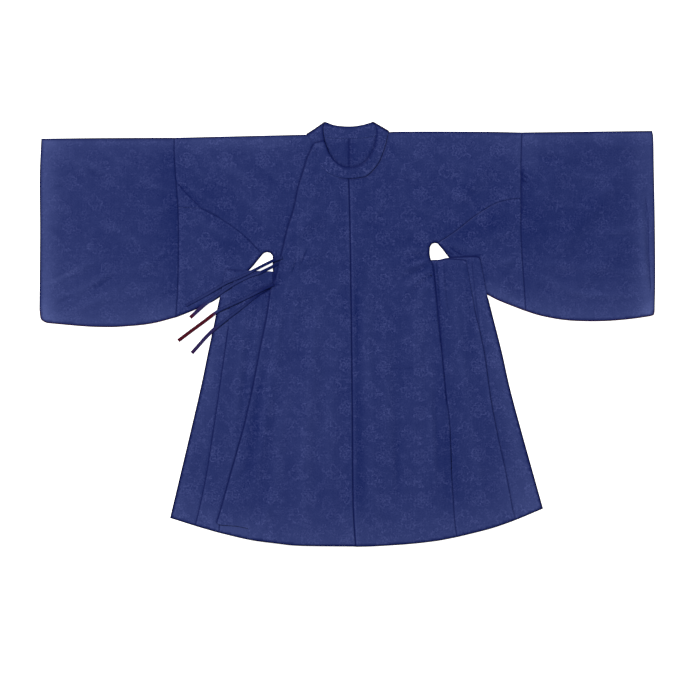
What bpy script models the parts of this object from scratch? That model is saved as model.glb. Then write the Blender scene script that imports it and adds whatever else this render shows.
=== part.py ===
"""Round-collared hanfu robe, laid flat on a surface with its front up.

Every piece of cloth is its own thin closed wall. The pattern is drawn as a tailor would draw
it: "across" is the distance from the centre front, to the wearer's left (+X), and "down" is
the distance below the shoulder line (towards -Y), both in centimetres. Heights above the
surface and wall thicknesses are in millimetres.

The robe rests on its back at z = 0. The origin is the centre of its box, at the bottom.
"""
import math

import bpy
import bmesh
from mathutils import Vector
from mathutils.geometry import delaunay_2d_cdt

CM = 0.01
MM = 0.001

# Driving sizes of the robe, in cm
SPAN_LEFT = 99.0          # centre front to the cuff at the photo's left
SPAN_RIGHT = 97.8         # centre front to the cuff at the photo's right
COLLAR_RISE = 4.0         # how far the collar's peak stands above the shoulder line
HEM_DROP = 132.0          # shoulder line to the hem at the centre
CENTRE_ACROSS = (SPAN_RIGHT - SPAN_LEFT) / 2
CENTRE_DOWN = (HEM_DROP - COLLAR_RISE) / 2

# Cloth, in mm
WALL = 1.2                # lined silk jacquard
COLLAR_WALL = 1.8         # collar band, doubled and stiffened
LAYER = 1.8               # from one layer's middle to the next one's
SEAM_INSET = 0.15         # each side of a seam, so neighbours are 0.3 apart
NECK_INSET = 0.6          # the body stops this far short of the collar's seam
FOLD_INSET = 1.5          # a folded edge turns this far inside the outline
FOLD_REACH = 0.3          # points this near a folded edge, in cm, take part in its turn
FOLD_ANGLES = (45, 90, 135)
TIE_WIDTH = 9.0
TIE_WALL = 1.0

# Mesh spacing, in cm
FRONT_GRID = 4.4
PANEL_GRID = 3.2
FLAT_GRID = 40.0
EDGE_STEP = 4.2

# Edges of the pieces: across, down
SHOULDER_LEFT = [(-55.8, 1.2), (-22.4, 0.4), (-13.6, 0.2)]
SHOULDER_RIGHT = [(12.6, -0.6), (19.6, -0.6), (55.4, -0.5)]
NECK_FRONT_RIGHT = [(0.0, 14.4), (3.2, 14.1), (5.9, 13.4), (8.6, 10.7), (10.0, 8.5),
                    (11.3, 5.1), (12.1, 2.1), (12.6, -0.6)]
NECK_OVERLAP = [(-11.2, 2.8), (-10.8, 4.3), (-10.5, 6.0), (-9.6, 9.0), (-8.1, 11.4),
                (-6.0, 13.0), (-2.9, 14.1), (0.0, 14.4)]
NECK_INNER = [(-13.6, 0.2), (-12.0, 2.2), (-11.2, 4.3), (-10.7, 6.0), (-9.8, 9.1),
              (-8.2, 11.6), (-6.0, 13.2), (-2.9, 14.3), (-0.4, 14.5)]
NECK_BACK_LEFT = [(-13.6, 0.2), (-10.5, 0.9), (-6.0, 1.5), (0.0, 1.7)]
NECK_BACK_RIGHT = [(0.0, 1.7), (6.0, 1.3), (10.0, 0.4), (12.6, -0.6)]

CENTRE_FRONT = [(0.0, 14.4), (0.3, 30.0), (0.7, 53.0), (1.15, 85.0), (1.6, 115.0),
                (2.2, 132.0)]
CENTRE_BACK = [(0.0, 1.7), (0.3, 30.0), (0.7, 53.0), (1.15, 85.0), (1.6, 115.0), (2.2, 132.0)]
INNER_EDGE = [(-0.4, 14.5), (-0.1, 30.0), (0.3, 53.0), (0.75, 85.0), (1.2, 115.0),
              (1.7, 131.9)]

CLOSING_EDGE = [(-11.2, 2.8), (-12.2, 5.1), (-13.3, 7.5), (-14.7, 11.9), (-16.2, 16.8),
                (-17.1, 21.1), (-18.0, 25.0), (-19.8, 30.7), (-21.6, 38.4), (-22.4, 41.5),
                (-23.4, 46.0), (-25.2, 50.2)]
OVERLAP_SIDE = [(-25.2, 50.2), (-28.8, 69.1), (-31.9, 85.1), (-38.7, 108.8), (-41.7, 123.2),
                (-42.4, 124.5)]
OVERLAP_STEP = [(-42.4, 124.5), (-40.8, 125.1), (-37.0, 125.3), (-32.3, 126.1)]
OVERLAP_STEP_END = [(-32.3, 126.1), (-31.7, 129.8)]

SIDE_SEAM_LEFT = [(-24.3, 44.0), (-24.6, 50.5), (-27.8, 69.5), (-30.9, 85.5), (-37.7, 109.0),
                  (-40.9, 123.0), (-41.6, 127.5)]
SIDE_SEAM_RIGHT = [(26.2, 40.3), (27.3, 44.5), (28.6, 59.5), (29.7, 69.1), (31.2, 85.1),
                   (32.3, 96.5), (33.6, 114.6), (34.6, 128.9)]
ARMPIT_LEFT = [(-27.7, 38.6), (-27.0, 38.0), (-26.2, 37.8), (-25.2, 38.0), (-24.4, 39.0)]
ARMPIT_RIGHT = [(28.3, 35.0), (27.4, 34.9), (26.6, 35.1), (25.9, 36.2)]
BODY_EDGE_LEFT = [(-24.4, 39.0), (-24.3, 44.0)]
BODY_EDGE_RIGHT = [(25.9, 36.2), (25.8, 38.2), (26.2, 40.3)]

SLEEVE_SEAM_LEFT = [(-55.8, 1.2), (-55.0, 13.1), (-54.6, 23.4)]
SLEEVE_SEAM_LEFT_LOW = [(-54.6, 23.4), (-55.0, 33.9), (-55.0, 48.3), (-55.3, 58.7)]
SLEEVE_SEAM_RIGHT = [(55.4, -0.5), (55.1, 9.9), (55.1, 20.8)]
SLEEVE_SEAM_RIGHT_LOW = [(55.1, 20.8), (55.2, 33.9), (56.0, 46.7), (56.6, 56.7)]
CURVED_SEAM_LEFT = [(-54.6, 23.4), (-47.4, 23.8), (-40.2, 27.7), (-33.1, 32.9), (-27.7, 38.6)]
CURVED_SEAM_RIGHT = [(55.1, 20.8), (52.0, 20.9), (46.8, 22.3), (40.4, 26.2), (33.9, 31.3),
                     (28.3, 35.0)]
UNDERARM_BOTTOM_LEFT = [(-55.3, 58.7), (-50.8, 56.9), (-47.3, 55.3), (-41.2, 52.1),
                        (-32.0, 43.6), (-29.2, 40.4), (-27.7, 38.6)]
UNDERARM_BOTTOM_RIGHT = [(56.6, 56.7), (48.4, 53.5), (44.4, 51.5), (38.5, 46.5), (32.0, 39.5),
                         (30.2, 37.2), (28.3, 35.0)]

SLEEVE_TOP_LEFT = [(-55.8, 1.2), (-80.0, 1.3), (-98.4, 1.5)]
SLEEVE_TOP_RIGHT = [(55.4, -0.5), (80.0, -0.8), (96.6, -1.0)]
CUFF_LEFT = [(-98.4, 1.5), (-98.9, 14.0), (-98.8, 32.0), (-99.0, 56.3)]
CUFF_CORNER_LEFT = [(-99.0, 56.3), (-98.5, 59.3), (-96.6, 60.5)]
CUFF_RIGHT = [(96.6, -1.0), (97.1, 0.3), (97.3, 11.5), (97.6, 27.5), (97.8, 56.7)]
CUFF_CORNER_RIGHT = [(97.8, 56.7), (97.5, 57.9), (96.4, 58.3)]
SLEEVE_BOTTOM_LEFT = [(-96.6, 60.5), (-86.0, 61.2), (-79.6, 61.5), (-73.2, 61.4),
                      (-63.6, 60.5), (-55.3, 58.7)]
SLEEVE_BOTTOM_RIGHT = [(96.4, 58.3), (90.0, 59.0), (82.0, 59.6), (74.0, 59.6), (67.6, 59.1),
                       (61.2, 57.9), (56.6, 56.7)]

PANEL_TOP_LEFT = [(-39.4, 43.2), (-36.8, 43.5), (-24.3, 44.0)]
PANEL_TOP_LEFT_FRONT = [(-36.8, 44.2), (-24.3, 44.0)]
PANEL_OUTER_LEFT = [(-39.4, 43.2), (-41.3, 52.5), (-44.8, 69.1), (-48.2, 85.1),
                    (-57.1, 122.8)]
PANEL_FOLD_LEFT = [(-36.8, 44.2), (-38.7, 62.1), (-42.3, 85.1), (-49.2, 125.3)]
PANEL_TOP_RIGHT = [(26.2, 40.3), (29.0, 40.2), (32.0, 39.6), (43.2, 39.4)]
PANEL_TOP_RIGHT_FRONT = [(26.2, 40.3), (29.0, 40.4), (32.0, 39.9), (37.5, 40.3)]
PANEL_OUTER_RIGHT = [(43.2, 39.4), (44.3, 52.0), (48.7, 69.1), (52.4, 85.1), (62.0, 119.8)]
PANEL_FOLD_RIGHT = [(37.5, 40.3), (40.3, 56.3), (43.2, 69.1), (45.5, 85.1), (52.0, 120.3),
                    (53.4, 123.4)]

# Hem, from left to right; the pieces' edges end on it
HEM = [(-57.1, 122.8), (-49.2, 125.3), (-41.6, 127.5), (-31.7, 129.8), (-22.8, 131.0),
       (-15.2, 131.7), (1.7, 131.9), (2.2, 132.0), (8.9, 131.8), (19.6, 131.1), (28.2, 130.1),
       (34.6, 128.9), (45.3, 126.2), (53.4, 123.4), (62.0, 119.8)]

# Collar band, from its free end at the left shoulder round the front to the right shoulder,
# along the back of the neck and down again under its own free end. Each section runs from the
# seam to the band's top edge.
COLLAR_COLUMNS = ("seam_across", "seam_down", "seam_height",
                  "top_across", "top_down", "top_height")
COLLAR = [
    (-11.1, 2.6, 6.6, -7.9, 2.4, 7.6),
    (-10.8, 4.3, 6.4, -7.1, 4.2, 7.6),
    (-10.4, 6.0, 6.2, -6.4, 6.0, 7.6),
    (-9.5, 9.0, 6.0, -4.6, 8.5, 7.6),
    (-8.0, 11.3, 5.8, -2.9, 9.9, 7.6),
    (-5.9, 12.9, 5.6, -1.6, 10.5, 7.6),
    (-2.8, 14.0, 5.4, -0.3, 10.7, 7.6),
    (0.2, 14.3, 5.4, 1.1, 10.65, 7.6),
    (3.1, 14.0, 5.3, 2.5, 10.4, 7.6),
    (5.8, 13.3, 5.2, 4.0, 9.7, 7.6),
    (8.5, 10.6, 5.0, 5.9, 8.1, 7.6),
    (9.9, 8.4, 4.9, 7.1, 6.3, 7.5),
    (11.2, 5.0, 4.8, 8.2, 3.8, 7.3),
    (12.0, 2.0, 4.8, 8.8, 0.6, 6.9),
    (12.45, 0.2, 5.1, 8.7, -1.8, 6.2),
    (12.8, -0.95, 3.6, 7.9, -3.8, 3.6),
    (12.0, -0.7, 1.2, 6.9, -3.6, 1.3),
    (9.8, 0.2, 0.9, 4.6, -2.95, 0.9),
    (5.9, 1.1, 0.9, 2.0, -2.5, 0.9),
    (0.0, 1.5, 0.9, -0.1, -2.4, 0.9),
    (-5.9, 1.3, 0.9, -2.3, -2.5, 0.9),
    (-10.3, 0.7, 0.9, -5.0, -2.9, 0.9),
    (-12.9, 0.1, 1.2, -7.7, -3.85, 1.4),
    (-13.55, 0.05, 2.5, -8.2, -3.0, 3.2),
    (-12.7, 1.2, 3.0, -8.6, -1.2, 3.9),
    (-11.9, 2.2, 3.1, -8.2, 1.2, 4.2),
    (-11.1, 4.3, 3.1, -7.3, 3.9, 4.2),
    (-10.6, 6.0, 3.1, -6.6, 6.0, 4.2),
]
COLLAR_ROWS = 60
COLLAR_STRIPS = 4
COLLAR_CROWN = 0.5

# Ties: points chosen along each ribbon, at its middle, from the sewn end to the free end
TIE_COLUMNS = ("across", "down", "height")
TIES = {
    "tie_1": [(-21.2, 40.0, 8.4), (-22.8, 40.4, 8.4), (-24.4, 41.0, 8.0), (-28.0, 42.7, 7.6),
              (-30.9, 44.0, 7.8), (-35.0, 45.9, 8.0), (-38.9, 47.5, 7.2), (-42.3, 49.4, 5.0),
              (-45.8, 51.5, 4.0), (-51.9, 54.8, 3.8)],
    "tie_2": [(-22.7, 42.1, 4.2), (-24.3, 43.0, 4.4), (-26.5, 43.9, 6.4), (-28.9, 44.9, 7.6),
              (-32.0, 46.1, 7.8), (-35.5, 47.8, 7.8), (-39.0, 49.7, 7.2), (-42.5, 52.0, 5.0),
              (-46.0, 54.5, 4.0), (-48.2, 56.4, 3.9), (-50.6, 58.6, 2.2)],
    "tie_3": [(-24.0, 48.2, 8.4), (-26.2, 48.9, 8.0), (-28.4, 50.0, 6.6), (-30.7, 51.2, 5.2),
              (-33.4, 52.4, 5.2), (-36.0, 53.6, 6.6), (-38.7, 54.9, 7.4), (-41.3, 56.3, 6.4),
              (-43.6, 57.9, 4.0), (-46.2, 59.9, 1.8), (-50.0, 62.7, 0.9), (-54.4, 66.0, 0.7)],
    "tie_4": [(-24.9, 48.9, 4.2), (-26.6, 49.8, 4.2), (-29.4, 51.7, 3.7), (-33.4, 54.9, 4.4),
              (-36.0, 56.9, 4.8), (-38.7, 58.9, 4.6), (-41.2, 60.9, 3.8), (-43.6, 62.9, 2.6),
              (-46.0, 65.3, 1.2), (-48.2, 67.8, 0.8), (-50.1, 69.9, 0.7)],
}
TIE_ROWS = 26

# Largest folds: a soft ridge from one end to the other, width in cm and height in mm
FOLD_COLUMNS = ("across_0", "down_0", "across_1", "down_1", "width", "height")
FOLDS = [
    (-90.0, 14.0, -62.0, 44.0, 5.5, 2.6),
    (-88.0, 34.0, -66.0, 53.0, 4.5, 2.0),
    (-76.0, 8.0, -60.0, 24.0, 4.5, 1.8),
    (-50.0, 8.0, -30.0, 26.0, 5.0, 2.2),
    (-46.0, 30.0, -34.0, 38.0, 4.0, 1.8),
    (-19.0, 34.0, -8.0, 24.0, 4.0, 2.6),
    (-20.0, 42.0, -7.0, 37.0, 3.8, 2.4),
    (-21.0, 49.0, -10.0, 52.0, 3.8, 2.0),
    (-12.0, 62.0, -16.0, 112.0, 6.0, 2.6),
    (-24.0, 74.0, -30.0, 112.0, 5.0, 2.0),
    (8.0, 64.0, 12.0, 116.0, 6.0, 2.6),
    (20.0, 60.0, 23.0, 104.0, 5.5, 2.2),
    (24.5, 38.0, 12.0, 26.0, 4.2, 2.6),
    (25.0, 42.0, 12.0, 41.0, 3.8, 2.4),
    (25.0, 46.0, 14.0, 53.0, 3.8, 2.0),
    (48.0, 8.0, 30.0, 24.0, 5.0, 2.2),
    (70.0, 6.0, 60.0, 26.0, 4.5, 1.8),
    (88.0, 12.0, 64.0, 40.0, 5.5, 2.6),
    (90.0, 34.0, 68.0, 52.0, 4.5, 2.0),
    (49.0, 40.0, 51.0, 52.0, 3.6, 1.6),
]
INNER_FOLD_SHARE = 0.3    # how much of the folds the inner front takes

NAVY = (0.026, 0.037, 0.141)
DARK_NAVY = (0.018, 0.022, 0.085)


def clear_scene():
    for obj in list(bpy.data.objects):
        bpy.data.objects.remove(obj, do_unlink=True)


def material(name, colour, roughness):
    """A plain cloth finish."""
    mat = bpy.data.materials.new(name)
    mat.use_nodes = True
    shader = mat.node_tree.nodes["Principled BSDF"]
    shader.inputs["Base Color"].default_value = (*colour, 1.0)
    shader.inputs["Roughness"].default_value = roughness
    shader.inputs["Metallic"].default_value = 0.0
    return mat


def smoothstep(value):
    value = min(max(value, 0.0), 1.0)
    return value * value * (3.0 - 2.0 * value)


def to_world(across, down, height):
    """A point of the pattern (cm, cm, mm) in metres."""
    return Vector(((across - CENTRE_ACROSS) * CM, (CENTRE_DOWN - down) * CM, height * MM))


def catmull_rom(points, share):
    """The point at a share (0 to 1) of a smooth curve through points of any dimension."""
    last = len(points) - 1
    place = min(max(share, 0.0), 1.0) * last
    index = min(int(place), last - 1)
    t = place - index
    p1, p2 = points[index], points[index + 1]
    p0 = points[index - 1] if index > 0 else tuple(2 * a - b for a, b in zip(p1, p2))
    p3 = points[index + 2] if index + 2 <= last else tuple(2 * b - a for a, b in zip(p1, p2))
    return tuple(
        0.5 * (2 * b + (c - a) * t + (2 * a - 5 * b + 4 * c - d) * t ** 2
               + (3 * b - a - 3 * c + d) * t ** 3)
        for a, b, c, d in zip(p0, p1, p2, p3))


def smooth_edge(points, step=EDGE_STEP):
    """An edge's points about a step apart, with its own ends and its table's points kept."""
    result = [points[0]]
    last = len(points) - 1
    for index in range(last):
        parts = max(1, round(math.dist(points[index], points[index + 1]) / step))
        result += [catmull_rom(points, (index + k / parts) / last) for k in range(1, parts + 1)]
    return result


def reverse(points):
    return list(reversed(points))


def hem_between(left, right):
    """The stretch of hem from one across value to another, both in the table."""
    return [point for point in HEM if left - 1e-6 <= point[0] <= right + 1e-6]


def outline(*edges):
    """A closed outline, anticlockwise as seen from above, from (points, inset in mm) edges.

    Each stretch moves in by its own inset, and the corners follow both neighbours.
    """
    corners, insets = [], []
    for points, inset in edges:
        for point in smooth_edge(points)[:-1]:
            corners.append(Vector(point))
            insets.append(inset * MM / CM)
    count = len(corners)
    area = sum(corners[i].x * -corners[(i + 1) % count].y
               + corners[i].y * corners[(i + 1) % count].x for i in range(count))
    side = 1.0 if area > 0 else -1.0
    result = []
    for i in range(count):
        before, here, after = corners[i - 1], corners[i], corners[(i + 1) % count]
        back, ahead = (here - before).normalized(), (after - here).normalized()
        normal_1 = Vector((back.y, -back.x)) * side
        normal_2 = Vector((ahead.y, -ahead.x)) * side
        inset_1, inset_2 = insets[i - 1], insets[i]
        cross = normal_1.x * normal_2.y - normal_1.y * normal_2.x
        if abs(cross) < 0.15:
            move = (normal_1 + normal_2).normalized() * max(inset_1, inset_2)
        else:
            move = Vector(((inset_1 * normal_2.y - inset_2 * normal_1.y) / cross,
                           (inset_2 * normal_1.x - inset_1 * normal_2.x) / cross))
        result.append(here + move)
    return result if side > 0 else reverse(result)


def distance_to_line(point, line):
    """Shortest distance from a point to an open line of points."""
    best = math.inf
    for a, b in zip(line, line[1:]):
        run = (b[0] - a[0], b[1] - a[1])
        length_2 = run[0] ** 2 + run[1] ** 2
        t = ((point[0] - a[0]) * run[0] + (point[1] - a[1]) * run[1]) / max(length_2, 1e-12)
        t = min(max(t, 0.0), 1.0)
        best = min(best, math.hypot(point[0] - a[0] - t * run[0],
                                    point[1] - a[1] - t * run[1]))
    return best


def inside(point, polygon):
    """Whether a point lies inside a closed outline."""
    hit = False
    for a, b in zip(polygon, polygon[1:] + polygon[:1]):
        if (a[1] > point[1]) != (b[1] > point[1]):
            if point[0] < (b[0] - a[0]) * (point[1] - a[1]) / (b[1] - a[1]) + a[0]:
                hit = not hit
    return hit


def lattice(polygon, spacing, lines=()):
    """Points inside an outline on a staggered grid, clear of its edge and of given lines."""
    low_x = min(p[0] for p in polygon)
    high_x = max(p[0] for p in polygon)
    high_y = max(p[1] for p in polygon)
    row_step = spacing * math.sqrt(0.75)
    row = math.floor(min(p[1] for p in polygon) / row_step)
    ring = polygon + polygon[:1]
    points = []
    while row * row_step < high_y:
        shift = 0.5 * spacing * (row % 2)
        column = math.floor((low_x - shift) / spacing)
        while column * spacing + shift < high_x:
            point = (column * spacing + shift, row * row_step)
            clear = all(distance_to_line(point, line) > 0.5 * spacing for line in lines)
            if clear and inside(point, polygon):
                if distance_to_line(point, ring) > 0.5 * spacing:
                    points.append(point)
            column += 1
        row += 1
    return points


def triangulate(polygon, spacing, lines=()):
    """Points and triangles that fill an outline, with lines kept as edges, and its border."""
    points = [tuple(p) for p in polygon]
    edges = [(i, (i + 1) % len(points)) for i in range(len(points))]
    for line in lines:
        start = len(points)
        points += line
        edges += [(start + i, start + i + 1) for i in range(len(line) - 1)]
    points += lattice([tuple(p) for p in polygon], spacing, lines)
    filled = delaunay_2d_cdt([Vector(p) for p in points], edges, [], 0, 1e-5, True)
    places = {source: index for index, sources in enumerate(filled[3]) for source in sources}
    border = [places[i] for i in range(len(polygon))]
    corners = [tuple(p) for p in filled[0]]
    faces = []
    for face in filled[2]:
        middle = tuple(sum(corners[i][axis] for i in face) / 3 for axis in (0, 1))
        if inside(middle, polygon):
            faces.append(tuple(face))
    return corners, faces, border


def fold_relief(across, down):
    """Height of the soft folds at a point of the pattern, in mm."""
    total = 0.0
    for row in FOLDS:
        fold = dict(zip(FOLD_COLUMNS, row))
        start = Vector((fold["across_0"], fold["down_0"]))
        run = Vector((fold["across_1"], fold["down_1"])) - start
        away = Vector((across, down)) - start
        t = away.dot(run) / run.length_squared
        if 0.0 < t < 1.0:
            side = (away - run * t).length / fold["width"]
            if side < 1.0:
                total = max(total, fold["height"] * math.sin(math.pi * t) ** 0.8
                            * (1.0 - smoothstep(side)))
    return total


def layer(number):
    """Height of the middle of a layer of cloth, in mm; layer 0 lies on the surface."""
    return WALL / 2 + LAYER * number


def make_piece(name, vertices, faces, wall, mat):
    """A closed wall of cloth built round a middle surface, given in metres."""
    mesh = bpy.data.meshes.new(name)
    mesh.from_pydata(vertices, [], faces)
    mesh.validate()
    work = bmesh.new()
    work.from_mesh(mesh)
    bmesh.ops.recalc_face_normals(work, faces=work.faces)
    work.to_mesh(mesh)
    work.free()
    obj = bpy.data.objects.new(name, mesh)
    bpy.context.scene.collection.objects.link(obj)
    mesh.materials.append(mat)
    solid = obj.modifiers.new("Cloth", "SOLIDIFY")
    solid.thickness = wall * MM
    solid.offset = 0.0
    solid.use_even_offset = False
    mesh.shade_smooth()
    mesh.set_sharp_from_angle(angle=math.radians(40))
    return obj


def make_panel(name, edge, height, spacing, mat, lines=()):
    """One flat-cut panel: its outline filled and lifted by a height function."""
    points, faces, _ = triangulate(edge, spacing, lines)
    vertices = [to_world(x, y, height(x, y)) for x, y in points]
    return make_piece(name, vertices, faces, WALL, mat)


def front_height(across, down):
    """Outer front: on the inner front at the centre, on the back further out."""
    centre = 1.0 - smoothstep((across - 2.5) / 12.0)
    return layer(1.0 + centre) + fold_relief(across, down)


def overlap_height(across, down):
    """Extension of the outer front, loose over the inner front towards its closing edge."""
    return layer(2.0 + smoothstep((-across - 1.0) / 14.0)) + fold_relief(across, down)


def inner_height(across, down):
    return layer(1.0) + INNER_FOLD_SHARE * fold_relief(across, down)


def upper_height(across, down):
    return layer(1.0) + fold_relief(across, down)


def floor_height(across, down):
    return layer(0.0)


LIFT_FULL = 2.0           # the side panels lie on the sleeve this far past its edge, in cm
LIFT_END = 6.5            # and are back on the surface here


def panel_lift(across, down):
    """How far, in layers, a side panel is lifted by the sleeve that it lies on."""
    line = UNDERARM_BOTTOM_LEFT if across < 0 else UNDERARM_BOTTOM_RIGHT
    seam = CURVED_SEAM_LEFT if across < 0 else CURVED_SEAM_RIGHT
    sleeve = smooth_edge(line) + smooth_edge(seam)[-2::-1]
    if inside((across, down), sleeve):
        return 2.0
    away = distance_to_line((across, down), smooth_edge(line))
    return 2.0 * (1.0 - smoothstep((away - LIFT_FULL) / (LIFT_END - LIFT_FULL)))


def lower_panel_height(across, down):
    return layer(panel_lift(across, down))


def upper_panel_height(across, down):
    return layer(1.0 + panel_lift(across, down))


def body_edges(side, neck_curve, centre_curve, edge_inset=SEAM_INSET):
    """Outline of one half of the body with its share of the upper sleeve."""
    if side == "left":
        return outline(
            (SHOULDER_LEFT, edge_inset),
            (neck_curve, NECK_INSET),
            (centre_curve, SEAM_INSET),
            (reverse(hem_between(-41.6, centre_curve[-1][0])), 0.0),
            (reverse(SIDE_SEAM_LEFT), SEAM_INSET),
            (reverse(BODY_EDGE_LEFT), 0.0),
            (reverse(ARMPIT_LEFT), 0.0),
            (reverse(CURVED_SEAM_LEFT), SEAM_INSET),
            (reverse(SLEEVE_SEAM_LEFT), SEAM_INSET))
    return outline(
        (SHOULDER_RIGHT, edge_inset),
        (SLEEVE_SEAM_RIGHT, SEAM_INSET),
        (CURVED_SEAM_RIGHT, SEAM_INSET),
        (ARMPIT_RIGHT, 0.0),
        (BODY_EDGE_RIGHT, 0.0),
        (SIDE_SEAM_RIGHT, SEAM_INSET),
        (reverse(hem_between(2.2, 34.6)), 0.0),
        (reverse(centre_curve), SEAM_INSET),
        (neck_curve, NECK_INSET))


def make_body(cloth):
    """Back halves, inner front, outer front and its extension."""
    make_panel("back_left", body_edges("left", NECK_BACK_LEFT, CENTRE_BACK),
               floor_height, FLAT_GRID, cloth)
    make_panel("back_right", body_edges("right", NECK_BACK_RIGHT, CENTRE_BACK),
               floor_height, FLAT_GRID, cloth)
    make_panel("front_inner", body_edges("left", NECK_INNER, INNER_EDGE),
               inner_height, FRONT_GRID * 1.6, cloth)
    make_panel("front_outer", body_edges("right", NECK_FRONT_RIGHT, CENTRE_FRONT),
               front_height, FRONT_GRID, cloth)
    overlap = outline(
        (NECK_OVERLAP, NECK_INSET),
        (CENTRE_FRONT, SEAM_INSET),
        (reverse(hem_between(-31.7, 2.2)), 0.0),
        (reverse(OVERLAP_STEP_END), 0.0),
        (reverse(OVERLAP_STEP), 0.0),
        (reverse(OVERLAP_SIDE), 0.0),
        (reverse(CLOSING_EDGE), 0.0))
    make_panel("front_overlap", overlap, overlap_height, FRONT_GRID, cloth)


def make_underarms(cloth):
    """The pieces below the curved seams, front and back on each side."""
    left = outline((CURVED_SEAM_LEFT, SEAM_INSET), (reverse(UNDERARM_BOTTOM_LEFT), 0.0),
                   (reverse(SLEEVE_SEAM_LEFT_LOW), SEAM_INSET))
    right = outline((SLEEVE_SEAM_RIGHT_LOW, SEAM_INSET), (UNDERARM_BOTTOM_RIGHT, 0.0),
                    (reverse(CURVED_SEAM_RIGHT), SEAM_INSET))
    make_panel("underarm_left_back", left, floor_height, FLAT_GRID, cloth)
    make_panel("underarm_right_back", right, floor_height, FLAT_GRID, cloth)
    make_panel("underarm_left_front", left, upper_height, FRONT_GRID, cloth)
    make_panel("underarm_right_front", right, upper_height, FRONT_GRID, cloth)


def make_side_panels(cloth):
    """Two layers on each side, the back one on the surface and on the sleeve's lower edge."""
    left_back = outline(
        (PANEL_TOP_LEFT, 0.0), (SIDE_SEAM_LEFT, SEAM_INSET),
        (reverse(hem_between(-57.1, -41.6)), 0.0), (reverse(PANEL_OUTER_LEFT), 0.0))
    left_front = outline(
        (PANEL_TOP_LEFT_FRONT, 0.0), (SIDE_SEAM_LEFT, SEAM_INSET),
        (reverse(hem_between(-49.2, -41.6)), 0.0), (reverse(PANEL_FOLD_LEFT), 0.0))
    right_back = outline(
        (PANEL_TOP_RIGHT, 0.0), (PANEL_OUTER_RIGHT, 0.0),
        (reverse(hem_between(34.6, 62.0)), 0.0), (reverse(SIDE_SEAM_RIGHT), SEAM_INSET))
    right_front = outline(
        (PANEL_TOP_RIGHT_FRONT, 0.0), (PANEL_FOLD_RIGHT, 0.0),
        (reverse(hem_between(34.6, 53.4)), 0.0), (reverse(SIDE_SEAM_RIGHT), SEAM_INSET))
    fold_left = smooth_edge(PANEL_FOLD_LEFT)[1:-1]
    fold_right = smooth_edge(PANEL_FOLD_RIGHT)[1:-1]
    make_panel("side_panel_left_back", left_back, lower_panel_height, PANEL_GRID, cloth,
               [fold_left])
    make_panel("side_panel_right_back", right_back, lower_panel_height, PANEL_GRID, cloth,
               [fold_right])
    make_panel("side_panel_left_front", left_front, upper_panel_height, PANEL_GRID, cloth)
    make_panel("side_panel_right_front", right_front, upper_panel_height, PANEL_GRID, cloth)


def make_sleeve(name, top, cuff, corner, bottom, seams, cloth):
    """One sleeve end: a flattened tube, folded along its top and closed along its bottom."""
    upper_seam, lower_seam = seams
    edge = outline((top, FOLD_INSET), (cuff, 0.0), (corner, 0.0), (bottom, FOLD_INSET),
                   (reverse(lower_seam), SEAM_INSET), (reverse(upper_seam), SEAM_INSET))
    front_points, front_faces, front_border = triangulate(edge, FRONT_GRID)
    back_points, back_faces, back_border = triangulate(edge, FLAT_GRID)
    vertices = [to_world(x, y, upper_height(x, y)) for x, y in front_points]
    faces = list(front_faces)
    start = len(vertices)
    vertices += [to_world(x, y, floor_height(x, y)) for x, y in back_points]
    faces += [tuple(start + i for i in reversed(face)) for face in back_faces]
    back_border = [start + i for i in back_border]
    for line in (top, bottom):
        join_folded_edge(vertices, faces, edge, (front_border, back_border), line)
    return make_piece(name, vertices, faces, WALL, cloth)


def join_folded_edge(vertices, faces, edge, borders, line):
    """A round turn of cloth that joins the front layer to the back one along a folded edge."""
    radius = LAYER / 2
    count = len(edge)
    fold = smooth_edge(line)
    folded = [distance_to_line(tuple(here), fold) < FOLD_REACH for here in edge]
    turns = {}
    for i, here in enumerate(edge):
        if not folded[i]:
            continue
        ahead = (i + 1) % count if folded[(i + 1) % count] else i
        behind = i - 1 if folded[i - 1] else i
        run = edge[ahead] - edge[behind]
        out = Vector((-run.y, run.x)).normalized()
        row = [borders[0][i]]
        for angle in FOLD_ANGLES:
            turn = math.radians(angle)
            place = here + out * (radius * math.sin(turn) * MM / CM)
            row.append(len(vertices))
            vertices.append(to_world(place.x, place.y, layer(0.5) + radius * math.cos(turn)))
        turns[i] = row + [borders[1][i]]
    for i in turns:
        following = (i + 1) % count
        if following in turns:
            for a, b, c, d in zip(turns[i], turns[i][1:], turns[following][1:],
                                  turns[following]):
                faces.append((a, b, c, d))


def make_sleeves(cloth):
    make_sleeve("sleeve_left", SLEEVE_TOP_LEFT, CUFF_LEFT, CUFF_CORNER_LEFT,
                SLEEVE_BOTTOM_LEFT, (SLEEVE_SEAM_LEFT, SLEEVE_SEAM_LEFT_LOW), cloth)
    make_sleeve("sleeve_right", SLEEVE_TOP_RIGHT, CUFF_RIGHT, CUFF_CORNER_RIGHT,
                SLEEVE_BOTTOM_RIGHT, (SLEEVE_SEAM_RIGHT, SLEEVE_SEAM_RIGHT_LOW), cloth)


def make_strip(name, rows, wall, mat):
    """A band of cloth from rows of points in metres, each row across the band."""
    width = len(rows[0])
    vertices = [point for row in rows for point in row]
    faces = []
    for r in range(len(rows) - 1):
        for k in range(width - 1):
            a = r * width + k
            faces.append((a, a + 1, a + width + 1, a + width))
    return make_piece(name, vertices, faces, wall, mat)


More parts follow.
